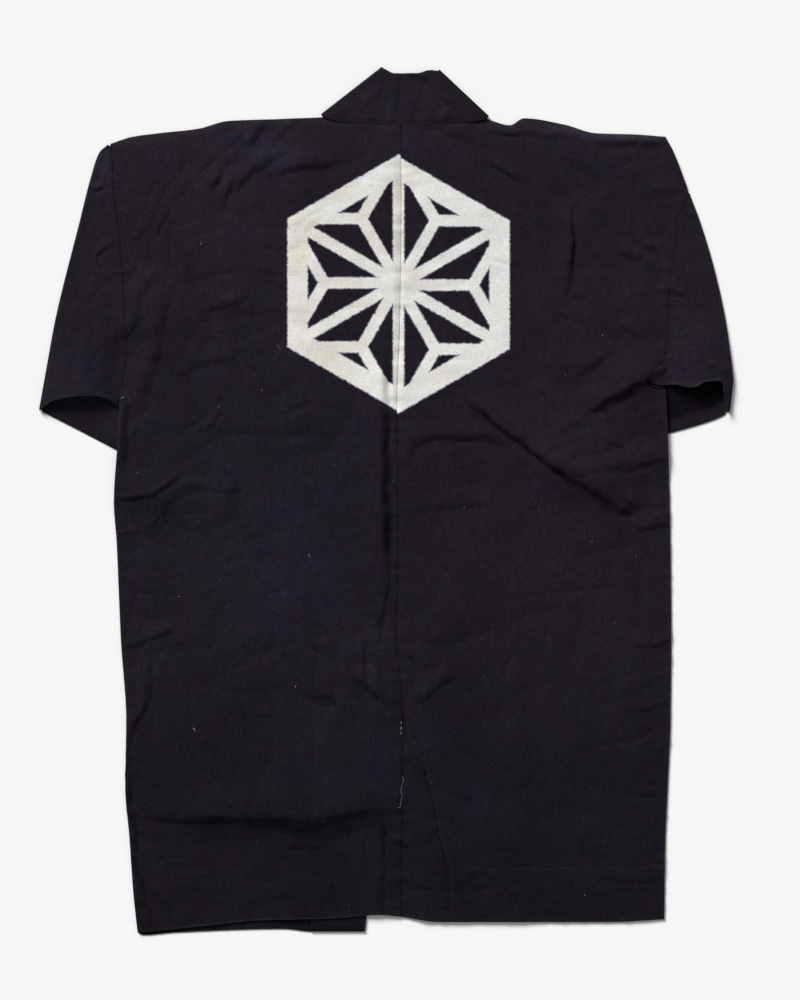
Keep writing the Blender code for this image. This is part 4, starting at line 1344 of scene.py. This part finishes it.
# %% Colours and threads of the cotton
MAUVE = (0.0136, 0.0086, 0.0136)  # the dye where it has turned browner
SLATE = (0.0112, 0.0094, 0.0149)
GREY = (0.0116, 0.0100, 0.0130)
BLUE = (0.0122, 0.0120, 0.0225)
PALE = (0.0420, 0.0360, 0.0480)  # the dye where it is rubbed
WHITE = (0.755, 0.755, 0.730)  # undyed cotton, then the same with age
YELLOWED = (0.725, 0.680, 0.580)
BLED = (0.200, 0.195, 0.255)  # where blue has crept into the white
THREAD_PITCH = 0.0008  # from one thread to the next, in metres
ACROSS_SLUB = 800  # how many uneven threads there are to a metre
ALONG_SLUB = 70  # and how often each of them changes along its length


def threads_of(cloth, flat, u, v):
    """How light each thread is: slubs both ways and the grain between, near 0 on average."""
    warp_spot = cloth.spot(
        cloth.calc("MULTIPLY", u, ACROSS_SLUB), cloth.calc("MULTIPLY", v, ALONG_SLUB)
    )
    weft_spot = cloth.spot(
        cloth.calc("MULTIPLY", u, ALONG_SLUB), cloth.calc("MULTIPLY", v, ACROSS_SLUB), 7.0
    )
    slubs = cloth.calc("ADD", cloth.noise(warp_spot, 1, 1), cloth.noise(weft_spot, 1, 1))
    grain = cloth.calc("MULTIPLY_ADD", cloth.noise(flat, 660, 1, 0.6), 1.2, -1.10)
    return cloth.calc("MULTIPLY_ADD", slubs, 0.5, grain)


def tinted(cloth, colour, amount):
    """The colour made lighter or darker by a number."""
    grey = cloth.spot(amount, amount, amount)
    ends = {0: 1.0, 6: colour, 7: grey}
    return cloth.add("Mix", ends, data_type="RGBA", blend_type="MULTIPLY").outputs[2]


print("undyed cotton gives back", round(WHITE[0] / MAUVE[0]), "times as much light as the dyed")

# %% [markdown]
# The crest goes on top of the dye. Its edge strays a little with the threads, and between the white
# and the indigo lies a thin line of bled blue. Age has yellowed the undyed cotton on its left.

# %% Crest on the cotton
EDGE_STRAY = 0.0032  # width of the strip within which the crest's edge strays


def with_crest(cloth, colour, flat, u, v, threads, slip):
    """The colour with the undyed crest on it."""
    stray = cloth.add("TexNoise", {"Vector": flat, "Scale": 260, "Detail": 3}).outputs[1]
    stray = cloth.add("SeparateXYZ", {0: stray}).outputs
    stray_u = cloth.calc("MULTIPLY_ADD", cloth.calc("SUBTRACT", stray[0], 0.5), EDGE_STRAY, u)
    stray_v = cloth.calc("MULTIPLY_ADD", cloth.calc("SUBTRACT", stray[1], 0.5), EDGE_STRAY, v)
    gap = crest_gap(cloth, stray_u, stray_v, slip)
    aged = cloth.calc("SUBTRACT", cloth.noise(flat, 22, 3), cloth.calc("MULTIPLY", u, 1.2))
    undyed = cloth.mix(cloth.step(aged, 0.35, 0.85), WHITE, YELLOWED)
    coarse = cloth.calc("MULTIPLY_ADD", cloth.noise(flat, 420, 2), 0.24, 0.86)
    grain = cloth.calc("MULTIPLY_ADD", threads, 0.42, coarse)
    if slip == 0:
        # Beside the centre seam, the left half's white is made darker in a strip.
        seam_darkening = cloth.calc("MULTIPLY", cloth.step(u, 0.004, 0.009), cloth.noise(flat, 90, 2))
        grain = cloth.calc("MULTIPLY_ADD", seam_darkening, -0.18, grain)
    undyed = tinted(cloth, undyed, grain)
    colour = cloth.mix(cloth.step(gap, 0.0012, -0.0002), colour, BLED)
    return cloth.mix(cloth.step(gap, 0.0002, -0.0013), colour, undyed)


# %% [markdown]
# The rest of the recipe adds up the casts, the blue places, the worn places, the specks and the
# painted light and shade. All the pieces were dyed in one bath, so one function makes their
# materials, with the crest or without.
# Plain colour would look like paper, so the bump adds the threads' relief.


# %% Whole recipe of the cotton
def dyed(cloth, flat, u, v, threads):
    """The colour of the dyed cotton, with its painted light and shade."""
    blue, cast, worn, light = (
        cloth.add("Attribute", attribute_name=key).outputs["Fac"]
        for key in ("blue", "cast", "worn", "light")
    )
    cast = cloth.calc("ADD", cloth.noise(flat, 40, 3, 0.6), cast)
    base = cloth.mix(cloth.step(cast, 0.32, 0.68), MAUVE, SLATE)
    grey = cloth.noise(cloth.spot(u, v, 5.0), 55, 2, 0.6)
    base = cloth.mix(cloth.calc("MULTIPLY", cloth.step(grey, 0.48, 0.70), 0.8), base, GREY)
    mottle = cloth.noise(cloth.spot(v, u, 0.3), 80, 3, 0.6)
    bluer = cloth.calc("MULTIPLY", blue, cloth.step(mottle, 0.15, 0.75))
    base = cloth.mix(cloth.calc("MULTIPLY_ADD", mottle, 0.12, bluer), base, BLUE)
    rubbed = cloth.calc("MULTIPLY", worn, cloth.calc("MULTIPLY_ADD", threads, 0.8, 0.6))
    specks = cloth.step(cloth.noise(flat, 1150, 1), 0.68, 0.80)
    rubbed = cloth.calc("MULTIPLY_ADD", specks, 0.35, rubbed)
    base = cloth.mix(rubbed, base, PALE)
    uneven_spot = cloth.spot(cloth.calc("MULTIPLY", u, 1.5), cloth.calc("MULTIPLY", v, 0.8))
    uneven = cloth.calc("MULTIPLY_ADD", cloth.noise(uneven_spot, 110, 3, 0.75), 0.8, 0.6)
    # The tone number brings in painted light and shade: crease and seam lines, cuffs, fronts and the lit
    # and shaded patches.
    shade = cloth.calc("MULTIPLY", cloth.calc("MULTIPLY_ADD", threads, 1.4, 1.0), light)
    shade = cloth.calc("MULTIPLY", shade, uneven)
    return tinted(cloth, base, shade)


def weave_bump(cloth, u, v, threads):
    """The relief of the crossed threads."""
    turns = 2 * math.pi / THREAD_PITCH
    over = cloth.calc("SINE", cloth.calc("MULTIPLY", u, turns))
    under = cloth.calc("SINE", cloth.calc("MULTIPLY", v, turns))
    weave = cloth.calc("MULTIPLY", cloth.calc("MULTIPLY", over, under), 0.35)
    relief = {"Height": cloth.calc("ADD", weave, threads), "Strength": 0.5, "Distance": 0.0004}
    return cloth.add("Bump", relief).outputs[0]


def indigo_cotton(name, slip=None):
    """Indigo-dyed cotton, with the crest if `slip` says how low it sits."""
    cloth = Cloth(name)
    flat = cloth.add("UVMap", uv_map="cut").outputs[0]
    u, v, _ = cloth.add("SeparateXYZ", {0: flat}).outputs
    threads = threads_of(cloth, flat, u, v)
    colour = dyed(cloth, flat, u, v, threads)
    if slip is not None:
        colour = with_crest(cloth, colour, flat, u, v, threads, slip)
    material = cloth.finish({
        "Base Color": colour,
        "Roughness": 0.92,
        "Specular IOR Level": 0.03,
        "Sheen Weight": 0.02,
        "Sheen Roughness": 0.5,
        "Normal": weave_bump(cloth, u, v, threads),
    })
    print(name, "has", len(cloth.tree.nodes), "nodes")
    return material


# %% [markdown]
# ## Dressing the coat
#
# Each finished piece now takes the place of one plain solid, and moves with the coat's one body. The
# halves each have their own material, because the crest sits a little lower on the right one.

# %% Dress the solids
INDIGO = {
    "indigo_left": indigo_cotton("indigo_left", slip=0.0),
    "indigo_right": indigo_cotton("indigo_right", slip=CREST_SLIP),
    "indigo_sleeve": indigo_cotton("indigo_sleeve"),
    "indigo_collar": indigo_cotton("indigo_collar"),
}
DRESSED = (
    # piece, CAD node, material slot
    (body_left, "body_left", "indigo_left"),
    (body_right, "body_right", "indigo_right"),
    (sleeve_left, "sleeve_left", "indigo_sleeve"),
    (sleeve_right, "sleeve_right", "indigo_sleeve"),
    (collar, "collar", "indigo_collar"),
)
for piece, node, slot_name in DRESSED:
    piece.data.materials.append(INDIGO[slot_name])
    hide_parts(node)
    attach(piece, "root")
    print(piece.name, "in place of", node)


# %% [markdown]
# ## Recipes for threads
#
# The hems are held by rows of running stitches: short bars of thread with gaps between them, where
# the needle goes down and comes up again. A hand never makes two of them alike. Geometry Nodes lay
# one bar again and again along a line, so a length, a gap or a seed can be changed without redoing
# the row. The same bar, bowed and turned at random, makes the lint.

# %% Helpers for geometry nodes
class Recipe:
    """A geometry node tree with named inputs, and a short call to add nodes to it."""

    def __init__(self, name, inputs):
        self.tree = bpy.data.node_groups.new(name, "GeometryNodeTree")
        face = self.tree.interface
        face.new_socket("Geometry", in_out="INPUT", socket_type="NodeSocketGeometry")
        for label, kind in inputs:
            face.new_socket(label, in_out="INPUT", socket_type="NodeSocket" + kind)
        face.new_socket("Geometry", in_out="OUTPUT", socket_type="NodeSocketGeometry")
        self.start = self.tree.nodes.new("NodeGroupInput").outputs
        self.end = self.tree.nodes.new("NodeGroupOutput").inputs

    def add(self, kind, values=(), **settings):
        """The outputs of a new node of this kind."""
        return fill(self.tree, self.tree.nodes.new(kind), values, settings).outputs

    def calc(self, operation, *values):
        """One sum."""
        return self.add("ShaderNodeMath", enumerate(values), operation=operation)[0]

    def vector(self, x=0.0, y=0.0, z=0.0):
        """Three numbers as one vector."""
        return self.add("ShaderNodeCombineXYZ", {"X": x, "Y": y, "Z": z})[0]

    def random(self, low, high, seed):
        """A random number for each bar, between two limits."""
        return self.add("FunctionNodeRandomValue", {2: low, 3: high, "Seed": seed})[1]

    def bar(self, length, thickness, bow):
        """One bar of thread along X, bowed towards `bow`."""
        half = self.calc("MULTIPLY", length, 0.5)
        start = self.vector(self.calc("MULTIPLY", half, -1.0))
        arch = {"Resolution": 6, "Start": start, "End": self.vector(half), "Middle": bow}
        curve = self.add("GeometryNodeCurveQuadraticBezier", arch)[0]
        circle = {"Resolution": 6, "Radius": thickness}
        ring = self.add("GeometryNodeCurvePrimitiveCircle", circle)[0]
        sweep = {"Curve": curve, "Profile Curve": ring, "Fill Caps": True}
        tube = self.add("GeometryNodeCurveToMesh", sweep)[0]
        return self.add("GeometryNodeSetShadeSmooth", {0: tube})[0]

    def finish(self, shape, material):
        """End the tree with a plain shape and its material."""
        real = self.add("GeometryNodeRealizeInstances", {0: shape})[0]
        painted = self.add("GeometryNodeSetMaterial", {0: real, "Material": material})[0]
        self.tree.links.new(painted, self.end[0])
        return self.tree


# %% [markdown]
# A stitch and a fibre are both one bent bar with a hexagon as its section, which is round enough at
# a fraction of a millimetre. The first recipe sets bars end to end along a line, and leaves some
# out. The second sets one on each point.


# %% The two recipes
def stitch_recipe():
    """Running stitches along every line of a mesh."""
    inputs = (
        ("Stitch", "Float"), ("Gap", "Float"), ("Thickness", "Float"), ("Stray", "Float"),
        ("Missing", "Float"), ("Seed", "Int"), ("Material", "Material"),
    )
    recipe = Recipe("running_stitches", inputs)
    lines, stitch, gap, thickness, stray, missing, seed, material = list(recipe.start)[:8]
    path = recipe.add("GeometryNodeMeshToCurve", {0: lines})[0]
    pitch = recipe.calc("ADD", stitch, gap)
    spots = recipe.add("GeometryNodeCurveToPoints", {"Curve": path, "Length": pitch}, mode="LENGTH")
    bar = recipe.bar(stitch, thickness, recipe.vector(0.0, 0.0, recipe.calc("MULTIPLY", thickness, 1.6)))
    along = recipe.add("FunctionNodeAlignRotationToVector", {"Vector": spots["Tangent"]}, axis="X")[0]
    turn = recipe.random(recipe.calc("MULTIPLY", stray, -1.0), stray, seed)
    turn = recipe.add("FunctionNodeEulerToRotation", {0: recipe.vector(0.0, 0.0, turn)})[0]
    turned = recipe.add("FunctionNodeRotateRotation", {0: along, 1: turn}, rotation_space="LOCAL")[0]
    kept = {6: recipe.calc("SUBTRACT", 1.0, missing), "Seed": recipe.calc("ADD", seed, 7.0)}
    kept = recipe.add("FunctionNodeRandomValue", kept, data_type="BOOLEAN")[3]
    size = recipe.random(0.75, 1.15, recipe.calc("ADD", seed, 3.0))
    placed = {"Points": spots[0], "Selection": kept, "Instance": bar, "Rotation": turned, "Scale": size}
    return recipe.finish(recipe.add("GeometryNodeInstanceOnPoints", placed)[0], material)


def lint_recipe():
    """A short bowed fibre on every point of a mesh, turned at random, as long as its `size` says."""
    inputs = (
        ("Fibre", "Float"), ("Thickness", "Float"), ("Bow", "Float"), ("Seed", "Int"),
        ("Material", "Material"),
    )
    recipe = Recipe("lint", inputs)
    points, fibre, thickness, bow, seed, material = list(recipe.start)[:6]
    bar = recipe.bar(fibre, thickness, recipe.vector(0.0, recipe.calc("MULTIPLY", fibre, bow), thickness))
    turn = recipe.vector(0.0, 0.0, recipe.random(-math.pi, math.pi, seed))
    size = recipe.add("GeometryNodeInputNamedAttribute", {"Name": "size"}, data_type="FLOAT")[0]
    placed = {"Points": points, "Instance": bar, "Rotation": turn, "Scale": size}
    return recipe.finish(recipe.add("GeometryNodeInstanceOnPoints", placed)[0], material)


STITCHES, LINT = stitch_recipe(), lint_recipe()
print("recipes with", len(STITCHES.nodes), "and", len(LINT.nodes), "nodes")


# %% [markdown]
# ## Laying threads on the cloth
#
# Each line is drawn in plan, and every point of it is dropped from above until it meets the coat.
# The recipe then runs on those lines, and what it makes is kept as a plain mesh.

# %% Threads on the cloth
DROP_HEIGHT = 0.2  # metres above the table, clear of every piece


def dropped(graph, x, y):
    """Where the point (x, y) lands on the coat, as a list of one point, or of none if it misses."""
    start = (x * METRE, y * METRE, DROP_HEIGHT)
    hit, spot, *_ = bpy.context.scene.ray_cast(graph, start, (0, 0, -1))
    return [tuple(spot)] if hit else []


def on_cloth(name, lines, sizes=None):
    """An object with the lines, given as (x, y) in mm, dropped on to the coat."""
    graph = bpy.context.evaluated_depsgraph_get()
    points, edges, kept_sizes = [], [], []
    for number, line in enumerate(lines):
        landed = sum((dropped(graph, x, y) for x, y in line), [])
        edges += [(k, k + 1) for k in range(len(points), len(points) + len(landed) - 1)]
        points += landed
        if sizes is not None:
            kept_sizes += [sizes[number]] * len(landed)
    data = bpy.data.meshes.new(name)
    data.from_pydata(points, edges, [])
    if sizes is not None:
        data.attributes.new("size", "FLOAT", "POINT").data.foreach_set("value", kept_sizes)
    piece = put_in_scene(name, data)
    return piece


def lay(piece, recipe, **values):
    """Run a recipe on an object's lines or points, and keep what it makes as a plain mesh."""
    maker = piece.modifiers.new(recipe.name, "NODES")
    maker.node_group = recipe
    inputs = [item for item in recipe.interface.items_tree if item.in_out == "INPUT"]
    sockets = {item.name: item.identifier for item in inputs}
    for key, value in values.items():
        maker[sockets[key]] = value
    graph = bpy.context.evaluated_depsgraph_get()
    made = bpy.data.meshes.new_from_object(piece.evaluated_get(graph), depsgraph=graph)
    piece.modifiers.remove(maker)
    piece.data = made
    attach(piece, "root")
    print(piece.name, "has", len(made.polygons), "faces")


def thread_dye(name, colour):
    """Plain rough cotton thread."""
    surface = {"Base Color": (*colour, 1), "Roughness": 0.9, "Specular IOR Level": 0.05}
    return Cloth(name).finish(surface)


# %% [markdown]
# ## The threads themselves
#
# The hem thread was indigo once. On the right it has faded to grey, and on the left it hardly has.
# Below the waist the centre seam was mended with white thread, of which three stitches show, and
# further down a loose end hangs out. Lint and dust have settled on the dark cloth, most of it too
# small to see.

# %% Stitches of the hems
OLD_THREAD = thread_dye("old_thread", (0.034, 0.031, 0.040))
DARK_THREAD = thread_dye("dark_thread", (0.014, 0.012, 0.016))
WHITE_THREAD = thread_dye("white_thread", (0.26, 0.25, 0.25))
FLUFF = thread_dye("lint", (0.22, 0.21, 0.23))
DUST = thread_dye("dust", (0.060, 0.057, 0.068))


def hem_line(table, first, last):
    """Points every 4 mm along a hem's stitches."""
    across = stations((first, last), 4.0)
    return list(zip(across, smooth_line(table, across)))


def thread_sizes(stitch, gap, thickness, stray, missing):
    """The sizes of a row of stitches in metres, their stray turn and the share that is missing."""
    return {
        "Stitch": stitch, "Gap": gap, "Thickness": thickness, "Stray": stray, "Missing": missing,
    }


HEM_ROW = thread_sizes(0.0034, 0.0012, 0.00018, 0.12, 0.2)
CUFF_ROW = thread_sizes(0.0030, 0.0016, 0.00016, 0.12, 0.15)
faded = on_cloth("hem_stitches_right", [hem_line(HEM_RIGHT, 74, 316)])
lay(faded, STITCHES, Seed=4, Material=OLD_THREAD, **HEM_ROW)
dark = on_cloth("hem_stitches_left", [hem_line(HEM_LEFT, -127, -30)])
lay(dark, STITCHES, Seed=5, Material=DARK_THREAD, **HEM_ROW)

cuff_row = [(x, smooth_line(RIGHT["cuff_lower"], x) + CUFF_HEM) for x in stations((322, 352), 3.0)]
upper_rows = [
    [(x, smooth_line(half["cuff_upper"], x) + CUFF_HEM) for x in stations((first, last), 3.0)]
    for half, first, last in ((LEFT, -376, -312), (RIGHT, 330, 370))
]
cuffs = on_cloth("cuff_stitches", [cuff_row, *upper_rows])
lay(cuffs, STITCHES, Seed=8, Material=OLD_THREAD, **CUFF_ROW)

# %% [markdown]
# A mend is sewn in a hurry, with what thread there is, so these three stitches are longer, thicker
# and white. The loose end is the same recipe with no gap between its short bars.

# %% White threads at the centre seam
MENDED = (
    # ends of each white stitch, in mm
    ((15.2, -252.0), (15.4, -256.0)),
    ((15.3, -258.5), (15.0, -262.0)),
    ((15.2, -264.0), (15.4, -267.0), (15.6, -271.0)),
)
LOOSE_END = (
    (17.4, -314.1), (17.8, -318.1), (15.3, -327.0), (15.3, -332.0), (16.4, -334.9), (14.9, -342.9),
    (13.9, -348.2), (12.4, -348.4),
)
MEND_ROW = thread_sizes(0.0032, 0.0060, 0.00030, 0.05, 0.0)
LOOSE_RUN = thread_sizes(0.0014, 0.0, 0.00017, 0.05, 0.0)
mended = on_cloth("mended_stitches", MENDED)
lay(mended, STITCHES, Seed=2, Material=WHITE_THREAD, **MEND_ROW)
loose = on_cloth("loose_thread", [curve_through(LOOSE_END, 4)])
lay(loose, STITCHES, Seed=6, Material=WHITE_THREAD, **LOOSE_RUN)

# %% [markdown]
# The larger specks of lint are placed one by one. The dust is so fine that only its even scatter
# counts, so its places are random, with a fixed seed.

# %% Lint and dust
SPECKS = (
    # x, y, size
    (-212, 292, 1.2), (-192, 107, 1.3), (-89, -62, 1.6), (-237, -109, 1.1), (-105, -211, 1.3),
    (-220, -260, 2.0), (232, -46, 0.9), (282, -62, 0.9), (223, -362, 0.7), (224, -448, 1.0),
    (135, -449, 0.7), (119, -298, 0.6), (-284, 32, 0.9), (-143, 126, 0.9), (-301, 117, 1.6),
    (87, -7, 0.9), (258, -139, 0.7), (202, 143, 0.8), (244, 188, 1.0),
    (274, 328, 0.6), (-171, 335, 0.5), (172, -10, 0.7), (-186, 84, 0.6),
)
FIBRES = ((-122, 175, 1.0), (-60, 40, 0.5), (70, -90, 0.4), (-190, -90, 0.6))
DUST_COUNT = 260


def scattered(name, spots):
    """An object with a point on the coat at each (x, y), of the size that follows them."""
    return on_cloth(name, [[spot[:2]] for spot in spots], [spot[2] for spot in spots])


specks = scattered("lint_specks", SPECKS)
lay(specks, LINT, Fibre=0.0021, Thickness=0.00023, Bow=0.2, Seed=12, Material=FLUFF)
fibres = scattered("lint_fibres", FIBRES)
lay(fibres, LINT, Fibre=0.0090, Thickness=0.00012, Bow=0.45, Seed=3, Material=FLUFF)

chance = np.random.default_rng(17)
dust_x = chance.uniform(-285, 305, DUST_COUNT)
dust_y = chance.uniform(-460, 400, DUST_COUNT)
dust_size = chance.uniform(0.4, 1.4, DUST_COUNT)
dust = scattered("dust", list(zip(dust_x, dust_y, dust_size)))
lay(dust, LINT, Fibre=0.0013, Thickness=0.00022, Bow=0.2, Seed=21, Material=DUST)


# %% [markdown]
# ## What kind of cloth each piece is
#
# The body halves are one loom width wide and twice the coat's length, the sleeves are folded double,
# and the band is too.

print("five pieces of cloth, all laid flat")


# %% [markdown]
# ## Table, light and camera
#
# The coat lies on a plain pale sheet, which lies a hair below it, so that the two never share a
# plane. The sheet is only there for the picture, and isn't part of the coat.

# %% Table
TABLE_SIZE = 8
TABLE_LEVEL = -0.0004
bpy.ops.mesh.primitive_plane_add(size=TABLE_SIZE, location=(0, 0, TABLE_LEVEL))
table_top = bpy.context.object
table_top.name = "table_top"
paper = {"Base Color": (0.9, 0.9, 0.9, 1), "Roughness": 1.0, "Specular IOR Level": 0.0}
table_top.data.materials.append(Cloth("pale_table").finish(paper))
print("table", TABLE_SIZE, "m across, at", TABLE_LEVEL, "m")

# %% [markdown]
# One wide, soft light comes from the upper left, low enough for the creases to read, and the rest
# comes from all round, so the shadow at the coat's edge is faint.

# %% Light
SUN_HEIGHT = math.radians(31)  # above the table
SUN_TURN = math.radians(32)  # left of straight up in the picture
SUN_WIDTH = math.radians(26)  # how wide it looks from the coat: wider is softer
SUN_STRENGTH = 4.40
ROOM_LIGHT = 0.31
lamp_data = bpy.data.lights.new("window", "SUN")
lamp_data.energy = SUN_STRENGTH
lamp_data.angle = SUN_WIDTH
lamp = put_in_scene("window", lamp_data)
lamp.rotation_euler = (math.pi / 2 - SUN_HEIGHT, 0, math.pi + SUN_TURN)
world = bpy.data.worlds.new("room")
world.use_nodes = True
background = world.node_tree.nodes["Background"].inputs
background["Color"].default_value = (1, 1, 1, 1)
background["Strength"].default_value = ROOM_LIGHT
bpy.context.scene.world = world
bpy.context.scene.view_settings.view_transform = "Standard"
print("light", SUN_STRENGTH, "from the window and", ROOM_LIGHT, "from the room")

# %% [markdown]
# The camera looks straight down through a long lens from far up, which keeps the hems straight. Its
# lens is worked out from how much of the table the picture shows.

# %% Camera
CAMERA_HEIGHT = 4.0
CAMERA_PLACE = (0.013965, 0.000855)
SEEN_HEIGHT = 1.1375  # metres of table from the top to the bottom of the picture
camera_data = bpy.data.cameras.new("camera")
camera_data.lens = camera_data.sensor_width * CAMERA_HEIGHT / SEEN_HEIGHT
camera = put_in_scene("camera", camera_data)
camera.location = (*CAMERA_PLACE, CAMERA_HEIGHT)
bpy.context.scene.camera = camera
print("camera lens", round(camera_data.lens, 1), "mm")
